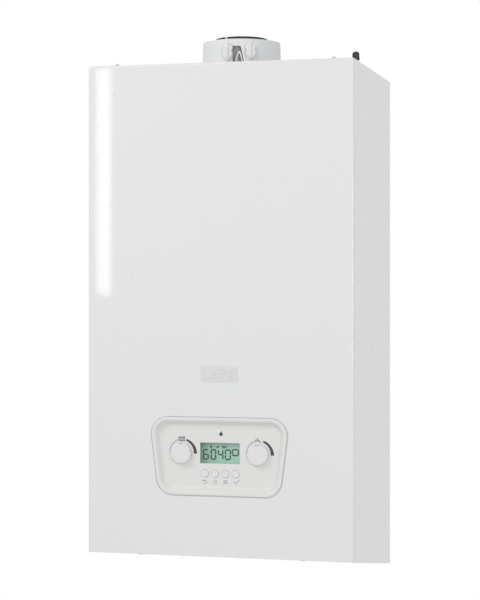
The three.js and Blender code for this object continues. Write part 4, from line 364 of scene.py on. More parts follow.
def lit_display():
    """A backlit liquid-crystal field, dim at its left end, with a painted shadow that darkens its colour and glow under
    its upper edge.
    """
    material, tree, shader = shade("lit_display", (0.4, 0.6, 0.5), 0.5)
    place = tree.nodes.new("ShaderNodeTexCoord")
    apart = tree.nodes.new("ShaderNodeSeparateXYZ")
    tree.links.new(place.outputs["Object"], apart.inputs["Vector"])
    left, right = at(-27.6, 0)[0], at(-1, 0)[0]
    ramp = tint(tree, shader, spread(tree, apart.outputs["X"], 0, 1, left, right),
                (0.17, 0.28, 0.22), (0.41, 0.60, 0.53), 0.0, 1.0)
    middle = ramp.color_ramp.elements.new(0.35)
    middle.color = (0.31, 0.47, 0.40, 1)
    # Painted shadow: colour and glow are multiplied darker towards the upper edge, standing for the shade that the
    # recess casts there.
    upper_shadow = tree.nodes.new("ShaderNodeMixRGB")
    upper_shadow.blend_type = "MULTIPLY"
    upper_shadow.inputs["Fac"].default_value = 1.0
    tree.links.new(ramp.outputs["Color"], upper_shadow.inputs["Color1"])
    low, high = at(0, 153)[1], at(0, 160)[1]
    tree.links.new(spread(tree, apart.outputs["Z"], 1.0, 0.6, low, high), upper_shadow.inputs["Color2"])
    tree.links.new(upper_shadow.outputs["Color"], shader.inputs["Base Color"])
    tree.links.new(upper_shadow.outputs["Color"], shader.inputs["Emission Color"])
    shader.inputs["Emission Strength"].default_value = 0.42
    relief(tree, shader, noise(tree, 2500, 1).outputs[0], 0.005 * MM, 0.3)
    return material


paint_white = sheet_paint("paint_white", (0.815, 0.82, 0.825))
panel_white = moulded("panel_white", (0.79, 0.79, 0.78), 0.36, 0.006, coat=0.25)
knob_white = moulded("knob_white", (0.80, 0.80, 0.795), 0.38, 0.006, coat=0.2)
turret_white = moulded("turret_white", (0.81, 0.815, 0.82), 0.5, 0.012)
print_grey = moulded("print_grey", (0.065, 0.065, 0.065), 0.5, 0.004)
print_fine = moulded("print_fine", (0.30, 0.30, 0.30), 0.5, 0.004)
print_lcd = moulded("print_lcd", (0.017, 0.050, 0.026), 0.5, 0.004)
plate_silver = brushed("plate_silver", (0.80, 0.80, 0.80), 0.28, (1, 1, 30), 90)
plate_pale = moulded("plate_pale", (0.76, 0.765, 0.77), 0.3, 0.004, coat=0.3)
# Mid grey for the baffle inside the flue collar: pale plastic darkened as painted shade of the slot's inside.
baffle_shade_grey = moulded("baffle_shade_grey", (0.50, 0.50, 0.49), 0.5, 0.012)
pale_plastic = moulded("pale_plastic", (0.62, 0.62, 0.61), 0.45, 0.012)
seal_rubber = moulded("seal_rubber", (0.02, 0.02, 0.02), 0.55, 0.03)
cap_plastic = moulded("cap_plastic", (0.022, 0.022, 0.020), 0.4, 0.01)
black_plastic = moulded("black_plastic", (0.03, 0.031, 0.033), 0.45, 0.03)
black_rubber = moulded("black_rubber", (0.018, 0.018, 0.018), 0.6, 0.03)
grey_plastic = moulded("grey_plastic", (0.26, 0.27, 0.28), 0.5, 0.03)
red_plastic = moulded("red_plastic", (0.42, 0.03, 0.025), 0.38, 0.01)
blue_plastic = moulded("blue_plastic", (0.03, 0.10, 0.32), 0.4, 0.01)
ceramic = moulded("ceramic", (0.74, 0.72, 0.66), 0.3, 0.01)
board_mask = moulded("board_mask", (0.02, 0.14, 0.06), 0.35, 0.01, coat=0.4)
vessel_paint = sheet_paint("vessel_paint", (0.42, 0.045, 0.035))
zinc = galvanised("zinc")
bright = brushed("bright", (0.66, 0.67, 0.68), 0.26, (1, 1, 1), 400)
steel = brushed("steel", (0.60, 0.60, 0.59), 0.3, (30, 1, 1), 60)
cast_metal = cast("cast_metal", (0.56, 0.57, 0.58))
copper = brushed("copper", (0.74, 0.36, 0.22), 0.3, (1, 1, 1), 120)
brass = brushed("brass", (0.70, 0.52, 0.24), 0.3, (1, 1, 1), 160)
window = clear_pane()
display_field = lit_display()


# ---- camera, lights and ground ----
scene = bpy.context.scene
scene.view_settings.view_transform = "Standard"

camera = bpy.data.objects.new("camera", bpy.data.cameras.new("camera"))
camera.data.lens = 103.586
camera.data.sensor_width = 36
camera.data.shift_y = -0.02235
camera.location = (0.65643, -2.64089, -0.24158)
camera.rotation_euler = (pi / 2, 0, 0.25932)
scene.collection.objects.link(camera)
scene.camera = camera

CAMERA_WHITE = 1.0
MIRRORED_ROOM = 0.86
ROOM_LIGHT = 0.62

world = bpy.data.worlds.new("room")
scene.world = world
world.use_nodes = True
room = world.node_tree
room.nodes.clear()
ray = room.nodes.new("ShaderNodeLightPath")
white = room.nodes.new("ShaderNodeBackground")
white.inputs["Strength"].default_value = CAMERA_WHITE
mirrored = room.nodes.new("ShaderNodeBackground")
mirrored.inputs["Strength"].default_value = MIRRORED_ROOM
soft = room.nodes.new("ShaderNodeBackground")
soft.inputs["Strength"].default_value = ROOM_LIGHT
for background in (white, mirrored, soft):
    background.inputs["Color"].default_value = (1, 1, 1, 1)
shiny = room.nodes.new("ShaderNodeMixShader")
room.links.new(ray.outputs["Is Glossy Ray"], shiny.inputs["Fac"])
room.links.new(soft.outputs["Background"], shiny.inputs[1])
room.links.new(mirrored.outputs["Background"], shiny.inputs[2])
direct = room.nodes.new("ShaderNodeMath")
direct.operation = "MAXIMUM"
room.links.new(ray.outputs["Is Camera Ray"], direct.inputs[0])
room.links.new(ray.outputs["Is Transmission Ray"], direct.inputs[1])
seen = room.nodes.new("ShaderNodeMixShader")
room.links.new(direct.outputs["Value"], seen.inputs["Fac"])
room.links.new(shiny.outputs["Shader"], seen.inputs[1])
room.links.new(white.outputs["Background"], seen.inputs[2])
surround = room.nodes.new("ShaderNodeOutputWorld")
room.links.new(seen.outputs["Shader"], surround.inputs["Surface"])


def lamp(name, place, target, width, height, radiance):
    """A soft rectangular light; its power follows from how bright its face is."""
    data = bpy.data.lights.new(name, "AREA")
    data.shape = "RECTANGLE"
    data.size, data.size_y = width, height
    data.energy = radiance * pi * width * height
    light = bpy.data.objects.new(name, data)
    light.location = place
    light.rotation_euler = (Vector(target) - Vector(place)).to_track_quat("-Z", "Y").to_euler()
    scene.collection.objects.link(light)
    return light


lamp("key", (-1.9, -2.2, 1.9), (0, -0.2, -0.2), 1.3, 1.3, 5.6)
lamp("edge", (1.5, -2.8, 0.2), (0.19, -0.285, -0.2), 0.8, 0.9, 6.7)
lamp("strip", (-1.0, -2.64, 0.065), (-0.15, -0.285, 0.0), 0.04, 0.66, 11)

bm = bmesh.new()
FLOOR_LEVEL = -1.6
FLOOR_REACH = 3.0
loft(bm, [[(-FLOOR_REACH, -FLOOR_REACH, FLOOR_LEVEL), (FLOOR_REACH, -FLOOR_REACH, FLOOR_LEVEL),
           (FLOOR_REACH, FLOOR_REACH, FLOOR_LEVEL), (-FLOOR_REACH, FLOOR_REACH, FLOOR_LEVEL)]],
     cap_start=True, cap_end=False)
pale_floor = bpy.data.materials.new("pale_floor")
pale_floor.use_nodes = True
ground = pale_floor.node_tree
matt = ground.nodes["Principled BSDF"]
matt.inputs["Base Color"].default_value = (0.8, 0.8, 0.8, 1)
matt.inputs["Roughness"].default_value = 0.9
glow = ground.nodes.new("ShaderNodeEmission")
glow.inputs["Strength"].default_value = CAMERA_WHITE
ground_ray = ground.nodes.new("ShaderNodeLightPath")
blend = ground.nodes.new("ShaderNodeMixShader")
ground.links.new(ground_ray.outputs["Is Camera Ray"], blend.inputs["Fac"])
ground.links.new(matt.outputs["BSDF"], blend.inputs[1])
ground.links.new(glow.outputs["Emission"], blend.inputs[2])
ground.links.new(blend.outputs["Shader"], ground.nodes["Material Output"].inputs["Surface"])
floor = mesh_object("floor", bm, pale_floor, weighted=False)


# ---- the case ----
def prism(name, outline, low, high, axis, material):
    """A bar of a flat outline along one axis. The outline is (y, z) for X, (x, z) for Y, (x, y) for Z."""
    place = {"X": lambda u, v, w: (w, u, v), "Y": lambda u, v, w: (u, w, v), "Z": lambda u, v, w: (u, v, w)}
    bm = bmesh.new()
    loft(bm, [[place[axis](u, v, end) for u, v in outline] for end in (low, high)])
    return mesh_object(name, bm, material, weighted=False)


def box_piece(name, low, high, material):
    """A plain box between two corners."""
    outline = rectangle(low[0], high[0], low[2], high[2])
    return slab(name, outline, low[1], high[1], material, weighted=False)


SKIRT_DROP = FLOOR_OF_CASE - COVER_LOW[2]
TOP_FLANGE = 45 * MM
BOTTOM_LIP = 26 * MM
FAR = 0.01

PANEL_FOOT, PANEL_HEAD = 180.6 / 2, 208.4 / 2
PANEL_LOW, PANEL_TOP = 85.8, 199.1
panel_corners = [at(-PANEL_FOOT, PANEL_LOW), at(PANEL_FOOT, PANEL_LOW),
                 at(PANEL_HEAD, PANEL_TOP), at(-PANEL_HEAD, PANEL_TOP)]
PANEL_RADIUS = 26 * MM
CUT_OUT_SHIFT = 0.5 * MM  # the cut-out lies this far to the right of the tray and below it


def panel_outline(inward, steps=20):
    """The trapezoid of the control panel, moved inwards."""
    return rounded(inset(panel_corners, inward), PANEL_RADIUS - inward, steps)


def case_form(name, inward, low, drop):
    """The case's outer form, moved inwards; its lower edge falls towards the wall by the drop."""
    front, back = CASE_FRONT + inward, CASE_BACK
    half, top, radius = HALF_WIDTH - inward, CASE_TOP - inward, EDGE_RADIUS - inward
    plan = [(-half, front), (half, front), (half, back), (-half, back)]
    form = prism(name, rounded(plan, [radius, radius, 0, 0], 12), low - drop, top, "Z", paint_white)
    side = [(front, low), (back, low - drop), (back, top), (front, top)]
    face = rectangle(-half, half, low - drop, top)
    return carve(carve(form, prism("side", rounded(side, [0, 0, 0, radius], 12), -half, half, "X", paint_white),
                       operation="INTERSECT"),
                 slab("face", rounded(face, [0, 0, radius, radius], 12), front, back, paint_white),
                 operation="INTERSECT")


STUD_X = 160.8 * MM
STUD_Y = CASE_FRONT + 28 * MM
NOTCH_HALF = 4 * MM
SCREW_X = 120 * MM

cover = case_form("cover_shell", 0, FLOOR_OF_CASE, SKIRT_DROP)
hollow = case_form("hollow", SHEET, FLOOR_OF_CASE - SKIRT_DROP - 1 * MM, 0)
lip = box_piece("lip", (-HALF_WIDTH, CASE_FRONT, FLOOR_OF_CASE),
                (HALF_WIDTH, CASE_FRONT + BOTTOM_LIP, FLOOR_OF_CASE + SHEET), paint_white)
carve(cover, carve(hollow, lip))
inner = HALF_WIDTH - SHEET
carve(
    cover,
    box_piece("top_opening", (-inner, CASE_FRONT + TOP_FLANGE, CASE_TOP - 0.2), (inner, FAR, CASE_TOP + FAR),
              paint_white),
    box_piece("bottom_opening", (-inner, CASE_FRONT + BOTTOM_LIP, FLOOR_OF_CASE - SKIRT_DROP - FAR),
              (inner, FAR, FLOOR_OF_CASE + 0.2), paint_white),
    slab("cut_out", [(x + CUT_OUT_SHIFT, z - CUT_OUT_SHIFT) for x, z in panel_outline(0)],
         CASE_FRONT - FAR, CASE_FRONT + 2 * SHEET, paint_white),
    *[box_piece("notch", (x - NOTCH_HALF, STUD_Y - NOTCH_HALF, CASE_TOP - 0.02),
                (x + NOTCH_HALF, FAR, CASE_TOP + FAR), paint_white) for x in (-STUD_X, STUD_X)],
    *[turned("screw_hole", [(0, FLOOR_OF_CASE - FAR), (2.2 * MM, FLOOR_OF_CASE - FAR),
                            (2.2 * MM, FLOOR_OF_CASE + FAR), (0, FLOOR_OF_CASE + FAR)],
             (x, CASE_FRONT + BOTTOM_LIP / 2, 0), paint_white, axis="Z", sides=24)
      for x in (-SCREW_X, SCREW_X)],
)
soften(cover, 0.28 * MM, 2, 40)
ride(cover, "front_cover", "front_cover", slot="case_white")


# ---- the control panel ----
PANEL_GAP = 1.2 * MM
RIM_FRONT = CASE_FRONT - 1.2 * MM
RIM_WIDTH = 5 * MM
RIM_SLOPE = 6.5 * MM
FLAT = CASE_FRONT + 6.5 * MM
FASCIA_BACK = FASCIA_HIGH[1]

fascia = bmesh.new()
rim_in = PANEL_GAP + RIM_WIDTH
SHOULDER = CASE_FRONT + SHEET + 0.3 * MM  # the tray's flange just behind the cover's sheet
tray_rings = [
    (-4 * MM, FASCIA_BACK), (-4 * MM, SHOULDER), (PANEL_GAP, SHOULDER), (PANEL_GAP, RIM_FRONT + 0.9 * MM), (PANEL_GAP + 0.12 * MM, RIM_FRONT + 0.4 * MM),
    (PANEL_GAP + 0.4 * MM, RIM_FRONT + 0.12 * MM), (PANEL_GAP + 0.9 * MM, RIM_FRONT),
    (rim_in - 0.9 * MM, RIM_FRONT), (rim_in, RIM_FRONT + 0.3 * MM), (rim_in + 0.8 * MM, RIM_FRONT + 1.1 * MM),
    (rim_in + RIM_SLOPE - 2.0 * MM, FLAT - 1.5 * MM), (rim_in + RIM_SLOPE - 0.9 * MM, FLAT - 0.5 * MM),
    (rim_in + RIM_SLOPE + 0.2 * MM, FLAT - 0.1 * MM), (rim_in + RIM_SLOPE + 1.2 * MM, FLAT),
]
loft(fascia, [[(x, y, z) for x, z in panel_outline(inward)] for inward, y in tray_rings])
tray = mesh_object("fascia_tray", fascia, panel_white, weighted=False)
plate_low, plate_high = at(-165, 40), at(165, 225)
plate = slab("plate", rounded(rectangle(plate_low[0], plate_high[0], plate_low[1], plate_high[1]), 6 * MM),
             FASCIA_BACK - 2.5 * MM, FASCIA_BACK, panel_white)
carve(tray, plate, operation="UNION")

WINDOW_LOW, WINDOW_HIGH = at(-58.3 / 2, 146.6 - 29.5 / 2), at(58.3 / 2, 146.6 + 29.5 / 2)
DIAL_X, DIAL_Z = 56.5, 146.1
KNOB_X, KNOB_Z = DIAL_X * MM, at(0, DIAL_Z)[1]
BUTTON_X = [at(-22.2 + 15.15 * k, 0)[0] for k in range(4)]
BUTTON_Z = at(0, 117.6)[1]
BUTTON_RADIUS = 5.4 * MM


def cutter(name, radius, x, z, y0, y1, sides=48):
    """A round bar along Y to cut with."""
    return turned(name, [(0, y0), (radius, y0), (radius, y1), (0, y1)], (x, 0, z), panel_white, sides=sides)


carve(
    tray,
    slab("opening", rounded(rectangle(WINDOW_LOW[0], WINDOW_HIGH[0], WINDOW_LOW[1], WINDOW_HIGH[1]), 0.5 * MM, 4),
         FLAT - FAR, FASCIA_BACK + FAR, panel_white),
    *[cutter("hole", 3.4 * MM, x, KNOB_Z, FLAT - FAR, FASCIA_BACK + FAR) for x in (-KNOB_X, KNOB_X)],
    *[cutter("hole", BUTTON_RADIUS + 0.3 * MM, x, BUTTON_Z, FLAT - FAR, FASCIA_BACK + FAR) for x in BUTTON_X],
)
soften(tray, 0.22 * MM, 2, 50)
ride(tray, "boiler", "control_fascia", slot="trim_white")

# ---- knobs and buttons ----
KNOB_LOW, KNOB_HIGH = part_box("knob_heating")
KNOB_FRONT = KNOB_LOW[1]
KNOB_RADIUS = 15 * MM
knob_profile = [
    (0, KNOB_FRONT + 0.25 * MM), (8 * MM, KNOB_FRONT + 0.2 * MM), (11.8 * MM, KNOB_FRONT + 0.08 * MM),
    (12.8 * MM, KNOB_FRONT), (13.6 * MM, KNOB_FRONT + 0.1 * MM), (14.3 * MM, KNOB_FRONT + 0.45 * MM),
    (14.75 * MM, KNOB_FRONT + 1.0 * MM), (14.95 * MM, KNOB_FRONT + 1.8 * MM), (KNOB_RADIUS, KNOB_FRONT + 2.6 * MM),
    (KNOB_RADIUS, FLAT - 1.0 * MM), (14.6 * MM, FLAT - 0.6 * MM), (3 * MM, FLAT - 0.5 * MM),
    (3 * MM, KNOB_HIGH[1]), (0, KNOB_HIGH[1]),
]
for body, x in (("knob_heating", -KNOB_X), ("knob_hot_water", KNOB_X)):
    dial = turned(body + "_dial", knob_profile, (x, 0, KNOB_Z), knob_white, sides=160, smooth_angle=40)
    ride(dial, body, body, slot="trim_white")
    # A thin grey bar a hair proud of the knob's face, near its upper rim.
    rim_bar = slab(body + "_pointer",
                   rounded(rectangle(x - 3.4 * MM, x + 3.4 * MM, KNOB_Z + 12.7 * MM, KNOB_Z + 13.7 * MM),
                           0.4 * MM, 4),
                   KNOB_FRONT + 0.02 * MM, KNOB_FRONT + 0.5 * MM, print_fine)
    ride(rim_bar, body, slot="trim_white")

BUTTON_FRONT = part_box("button_back")[0][1]
BUTTON_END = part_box("button_back")[1][1]
button_profile = [
    (0, BUTTON_FRONT + 0.12 * MM), (3.6 * MM, BUTTON_FRONT + 0.05 * MM), (4.5 * MM, BUTTON_FRONT),
    (5.05 * MM, BUTTON_FRONT + 0.12 * MM), (5.32 * MM, BUTTON_FRONT + 0.4 * MM), (BUTTON_RADIUS, BUTTON_FRONT + 0.8 * MM),
    (BUTTON_RADIUS, FASCIA_BACK + 0.3 * MM), (BUTTON_RADIUS + 1 * MM, FASCIA_BACK + 0.3 * MM),
    (BUTTON_RADIUS + 1 * MM, FASCIA_BACK + 1.5 * MM), (1.8 * MM, FASCIA_BACK + 1.5 * MM), (1.8 * MM, BUTTON_END),
    (0, BUTTON_END),
]
for body, x in zip(("button_back", "button_reset", "button_menu", "button_ok"), BUTTON_X):
    key = turned(body + "_cap", button_profile, (x, 0, BUTTON_Z), knob_white, sides=72, smooth_angle=40)
    ride(key, body, body, slot="trim_white")

# ---- what is printed on the panel ----
PRINT = 0.06 * MM


def printed(name, outlines, material, y=FLAT, body="boiler", slot="trim_white", thickness=PRINT):
    """Flat marks a hair proud of a face; each outline is a list of case millimetres (x, z)."""
    bm = bmesh.new()
    for outline in outlines:
        points = [at(*point) for point in outline]
        loft(bm, [[(x, y, z) for x, z in points], [(x, y - thickness, z) for x, z in points]])
    return ride(mesh_object(name, bm, material, weighted=False), body, slot=slot)


def stroke(points, widths):
    """The outline of a line through points, with a width at each."""
    left, right = [], []
    for i, point in enumerate(points):
        here = Vector(point)
        ahead = Vector(points[min(i + 1, len(points) - 1)]) - Vector(points[max(i - 1, 0)])
        side = Vector((-ahead.y, ahead.x)).normalized() * (widths[i] if isinstance(widths, list) else widths) / 2
        left.append(tuple(here + side))
        right.append(tuple(here - side))
    return left + right[::-1]


def arc(centre, radii, start, end, steps=28):
    """Points on an arc whose radius goes from one value to another; angles in degrees from +X."""
    points = []
    for i in range(steps + 1):
        t = i / steps
        a = radians(start + (end - start) * t)
        r = radii[0] + (radii[1] - radii[0]) * t
        points.append((centre[0] + r * cos(a), centre[1] + r * sin(a)))
    return points


for name, x in (("heating", -DIAL_X), ("hot_water", DIAL_X)):
    middle = (x, DIAL_Z)
    thin = stroke(arc(middle, (17.4, 19.2), 178, 106), [0.6 + 0.6 * k / 28 for k in range(29)])
    inner_edge = arc(middle, (18.5, 18.0), 68, -2.5)
    outer_edge = arc(middle, (21.2, 23.0), 70, -2.5)
    printed("scale_fine_" + name, [thin], print_fine)
    printed("scale_bold_" + name, [outer_edge + inner_edge[::-1]], print_grey)

RADIATOR_LEFT = -61.2
radiator = [rectangle(RADIATOR_LEFT + 2.1 * k, RADIATOR_LEFT + 2.1 * k + 1.4, 162.7, 169.4) for k in range(5)]
radiator += [rectangle(RADIATOR_LEFT, -51.0, 163.5, 164.3), rectangle(RADIATOR_LEFT, -51.0, 167.8, 168.6)]
printed("mark_radiator", radiator, print_fine)
tap = [
    rectangle(52.0, 53.1, 163.5, 167.5), rectangle(53.0, 57.9, 164.7, 166.6), rectangle(55.0, 56.0, 166.5, 167.9),
    rectangle(53.7, 57.3, 167.8, 168.8),
    stroke([(57.7, 165.7), (58.7, 165.5), (59.1, 164.7), (59.1, 163.1)], 1.5),
]
printed("mark_tap", tap, print_fine)

back_arrow = [
    stroke([(-24.0, 107.3), (-20.7, 107.3), (-19.4, 106.5), (-19.1, 105.5), (-19.4, 104.5), (-20.7, 103.7),
            (-24.1, 103.7)], 0.75),
    [(-25.6, 107.3), (-23.6, 108.8), (-23.6, 105.8)],
]
turn_mark = [stroke(arc((-7.1, 106.0), (2.3, 2.3), 60, -215, 24), 0.7),
             [(-7.3, 109.2), (-7.3, 107.2), (-5.2, 107.7)]]
lines_mark = [rectangle(5.4, 11.3, z, z + 0.8) for z in (103.6, 105.6, 107.6)]
tick_mark = [stroke([(20.8, 106.4), (23.3, 103.9), (28.5, 109.1)], 0.95)]
for name, marks in (("back", back_arrow), ("turn", turn_mark), ("lines", lines_mark), ("tick", tick_mark)):
    printed("mark_" + name, marks, print_fine)
flame = [[(1.5, 171.2), (3.4, 171.6), (4.6, 173.1), (4.3, 174.9), (3.1, 176.2), (2.8, 178.1), (1.1, 176.9),
          (0.4, 175.2), (-0.2, 175.8), (-1.0, 173.9), (-0.4, 172.1)]]
printed("mark_flame", flame, print_grey)

# ---- the display ----
MODULE_LOW, MODULE_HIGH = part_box("lcd_module")
MODULE_FRONT = MODULE_LOW[1]
module = box_piece("display_block", MODULE_LOW, MODULE_HIGH, black_plastic)
ride(module, "boiler", "lcd_module", slot="display_green")
field = slab("display_face", rectangle(MODULE_LOW[0] + 0.6 * MM, MODULE_HIGH[0] - 0.6 * MM,
                                       MODULE_LOW[2] + 0.6 * MM, MODULE_HIGH[2] - 0.6 * MM),
             MODULE_FRONT - 0.02 * MM, MODULE_FRONT + 0.3 * MM, display_field, weighted=False)
ride(field, "boiler", slot="display_green")
pane_low, pane_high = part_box("lcd_window")
pane = box_piece("display_pane", pane_low, pane_high, window)
ride(pane, "boiler", "lcd_window", slot="window_clear")

SEGMENTS = {
    "6": "acdefg", "0": "abcdef", "4": "bcfg",
}


def digit(shape, x0, x1, z0, z1, width):
    """The outlines of a seven-segment figure, its segments cut at 45 degrees with a small gap."""
    h, gap = width / 2, 0.12
    zm = (z0 + z1) / 2
    left, right = x0 + h, x1 - h
    low, high = z0 + h, z1 - h

    def level(z):
        return [(left + gap, z), (left + h + gap, z + h), (right - h - gap, z + h), (right - gap, z),
                (right - h - gap, z - h), (left + h + gap, z - h)]

    def upright(x, za, zb):
        return [(x, za + gap), (x + h, za + h + gap), (x + h, zb - h - gap), (x, zb - gap),
                (x - h, zb - h - gap), (x - h, za + h + gap)]

    bars = {"a": level(high), "g": level(zm), "d": level(low), "f": upright(left, zm, high),
            "b": upright(right, zm, high), "e": upright(left, low, zm), "c": upright(right, low, zm)}
    return [bars[name] for name in SEGMENTS[shape]]


FIGURE_LOW, FIGURE_HIGH, FIGURE_STROKE = 136.6, 152.1, 1.9
figures = []
for shape, x0, x1 in (("6", -26.2, -17.3), ("0", -14.7, -6.3), ("4", -4.0, 4.3), ("0", 6.2, 15.3)):
    figures += digit(shape, x0, x1, FIGURE_LOW, FIGURE_HIGH, FIGURE_STROKE)
degree = [(17.3, 145.2), (19.2, 143.4), (24.4, 143.4), (26.5, 145.2), (26.5, 150.1), (24.4, 152.0),
          (19.2, 152.0), (17.3, 150.1)]
figures += [stroke([degree[i], degree[(i + 1) % 8]], 1.7) for i in range(8)]
printed("display_figures", figures, print_lcd, MODULE_FRONT - 0.02 * MM, slot="display_green")
drop = [(-15.3, 154.9), (-14.6, 153.7), (-13.3, 153.6), (-12.5, 154.5), (-12.7, 155.8), (-13.9, 157.2), (-15.0, 156.1)]
faucet = [rectangle(-6.3, -2.7, 154.3, 155.5), rectangle(-4.7, -1.8, 155.4, 156.5), rectangle(-6.3, -5.4, 153.3, 154.5)]
bars = [rectangle(2.3 + 1.3 * k, 3.2 + 1.3 * k, 153.3, 157.1) for k in range(5)]
printed("display_signs", [drop] + faucet + bars, print_lcd, MODULE_FRONT - 0.02 * MM, slot="display_green")


# ---- the flue turret ----
FLUE_Y = sum(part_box("flue_seal")[i][1] for i in (0, 1)) / 2
COLLAR_LOW, COLLAR_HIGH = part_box("flue_collar")
COLLAR_TOP, COLLAR_FOOT = COLLAR_HIGH[2], COLLAR_LOW[2]
COLLAR_RIM, COLLAR_BASE, COLLAR_BORE = 57.4 * MM, 59.2 * MM, 51 * MM
COLLAR_FLANGE = 67.2 * MM
FLANGE_TOP = COLLAR_FOOT + 3 * MM
STEP_TOP = COLLAR_FOOT + 17 * MM


def ring_z(name, profile, material, sides=128, smooth_angle=38):
    """A turned ring about the flue's axis; its profile of (radius, z) closes on itself."""
    return turned(name, profile + profile[:1], (0, FLUE_Y, 0), material, axis="Z", sides=sides,
                  smooth_angle=smooth_angle)


collar = ring_z("turret_collar", [
    (COLLAR_BORE, COLLAR_FOOT), (COLLAR_FLANGE, COLLAR_FOOT), (COLLAR_FLANGE, FLANGE_TOP - 0.5 * MM),
    (COLLAR_FLANGE - 0.5 * MM, FLANGE_TOP), (COLLAR_BASE + 2.2 * MM, FLANGE_TOP),
    (COLLAR_BASE + 0.7 * MM, FLANGE_TOP + 0.6 * MM), (COLLAR_BASE + 0.1 * MM, FLANGE_TOP + 2 * MM),
    (COLLAR_BASE - 0.4 * MM, STEP_TOP - 0.6 * MM), (COLLAR_BASE - 1.0 * MM, STEP_TOP),
    (COLLAR_RIM, COLLAR_TOP - 0.7 * MM), (COLLAR_RIM - 0.2 * MM, COLLAR_TOP - 0.2 * MM),
    (COLLAR_RIM - 0.7 * MM, COLLAR_TOP), (COLLAR_BORE + 0.6 * MM, COLLAR_TOP), (COLLAR_BORE, COLLAR_TOP - 0.6 * MM),
], turret_white)

PLUG_X = (-5 * MM, 30.4 * MM)
PLUG_Z = CASE_TOP + 24 * MM
PLUG_HALF, PLUG_TALL, PLUG_DEPTH, PLUG_SHANK = 8 * MM, 14.5 * MM, 8 * MM, 3.5 * MM
SEAT_FRONT = FLUE_Y - COLLAR_RIM - 2 * MM
SEAT_BACK = FLUE_Y - COLLAR_BORE * 0.8
SLOT = [(2.3, 1.5), (19.7, 1.5), (13.2, 32), (-1.2, 32)]

seats = [slab("seat", rounded(rectangle(x - PLUG_HALF + 1 * MM, x + PLUG_HALF - 1 * MM, FLANGE_TOP - 0.1 * MM,
                                        PLUG_Z + PLUG_SHANK + 4 * MM), [0, 0, 3 * MM, 3 * MM], 6),
              SEAT_FRONT, SEAT_BACK, turret_white) for x in PLUG_X]
carve(collar, *seats, operation="UNION")
carve(
    collar,
    turned("bore", [(0, COLLAR_FOOT - FAR), (COLLAR_BORE, COLLAR_FOOT - FAR), (COLLAR_BORE, COLLAR_TOP + FAR),
                    (0, COLLAR_TOP + FAR)], (0, FLUE_Y, 0), turret_white, axis="Z", sides=128),
    slab("slot", rounded([(x * MM, CASE_TOP + z * MM) for x, z in SLOT], [0, 0, 2 * MM, 2 * MM], 4),
         SEAT_FRONT - FAR, SEAT_BACK, turret_white),
    *[cutter("shank_hole", PLUG_SHANK + 0.2 * MM, x, PLUG_Z, SEAT_FRONT - FAR, SEAT_BACK + FAR) for x in PLUG_X],
)


def gusset(angle):
    """A triangular rib between the collar's wall and its flange."""
    bm = bmesh.new()
    inner, reach, tall, half = COLLAR_BASE - 4 * MM, COLLAR_FLANGE - 1.5 * MM, 13 * MM, 1.3 * MM
    outline = [(inner, FLANGE_TOP - 1 * MM), (reach, FLANGE_TOP - 1 * MM), (reach, FLANGE_TOP + 0.6 * MM),
               (COLLAR_BASE - 0.5 * MM, FLANGE_TOP + tall), (inner, FLANGE_TOP + tall)]
    along, across = Vector((sin(angle), -cos(angle), 0)), Vector((cos(angle), sin(angle), 0))
    middle = Vector((0, FLUE_Y, 0))
    loft(bm, [[middle + along * r + across * side + Vector((0, 0, z)) for r, z in outline] for side in (-half, half)])
    return mesh_object("gusset", bm, turret_white, weighted=False)


GUSSET_ANGLES = [radians(a) for a in (-58, -34, 52, 80, 125, 180, 235, 270)]
carve(collar, *[gusset(angle) for angle in GUSSET_ANGLES], operation="UNION")
soften(collar, 0.25 * MM, 2, 42)
ride(collar, "boiler", "flue_collar", slot="turret_white")

# ---- the two sampling plugs: a four-lobed grip with a rib down its middle ----
PLUG_BACK = SEAT_FRONT - 0.3 * MM


def plug_outline(x, share, waist=1.0):
    """A grip wider at its shoulders and pointed at both ends."""
    w, h = PLUG_HALF * share, PLUG_TALL * share
    corners = [(x, PLUG_Z - h), (x + w * 0.62, PLUG_Z - h * 0.72), (x + w, PLUG_Z - h * 0.32),
               (x + w * 0.80 * waist, PLUG_Z), (x + w, PLUG_Z + h * 0.36), (x + w * 0.5, PLUG_Z + h * 0.72),
               (x, PLUG_Z + h), (x - w * 0.5, PLUG_Z + h * 0.72), (x - w, PLUG_Z + h * 0.36),
               (x - w * 0.80 * waist, PLUG_Z), (x - w, PLUG_Z - h * 0.32), (x - w * 0.62, PLUG_Z - h * 0.72)]
    return rounded(corners, 1.0 * MM * share, 4)


for body, x in zip(("test_plug_left", "test_plug_right"), PLUG_X):
    bm = bmesh.new()
    steps = [(0.86, PLUG_BACK), (0.97, PLUG_BACK - 0.5 * MM), (1.0, PLUG_BACK - 1.4 * MM),
             (1.0, PLUG_BACK - 3.6 * MM), (0.94, PLUG_BACK - 4.6 * MM), (0.72, PLUG_BACK - 5.6 * MM)]
    loft(bm, [[(px, y, pz) for px, pz in plug_outline(x, share)] for share, y in steps])
    grip = mesh_object(body + "_grip", bm, turret_white, smooth_angle=40)
    rib = slab("rib", rounded(rectangle(x - 1.5 * MM, x + 1.5 * MM, PLUG_Z - 10.5 * MM, PLUG_Z + 12.5 * MM), 1.4 * MM, 6),
               PLUG_BACK - PLUG_DEPTH, PLUG_BACK - 2 * MM, turret_white)
    shank = cutter("shank", PLUG_SHANK, x, PLUG_Z, PLUG_BACK - 1 * MM, PLUG_BACK + 9 * MM)
    carve(grip, rib, shank, operation="UNION")
    soften(grip, 0.35 * MM, 3, 40)
    ride(grip, body, body, slot="turret_white")

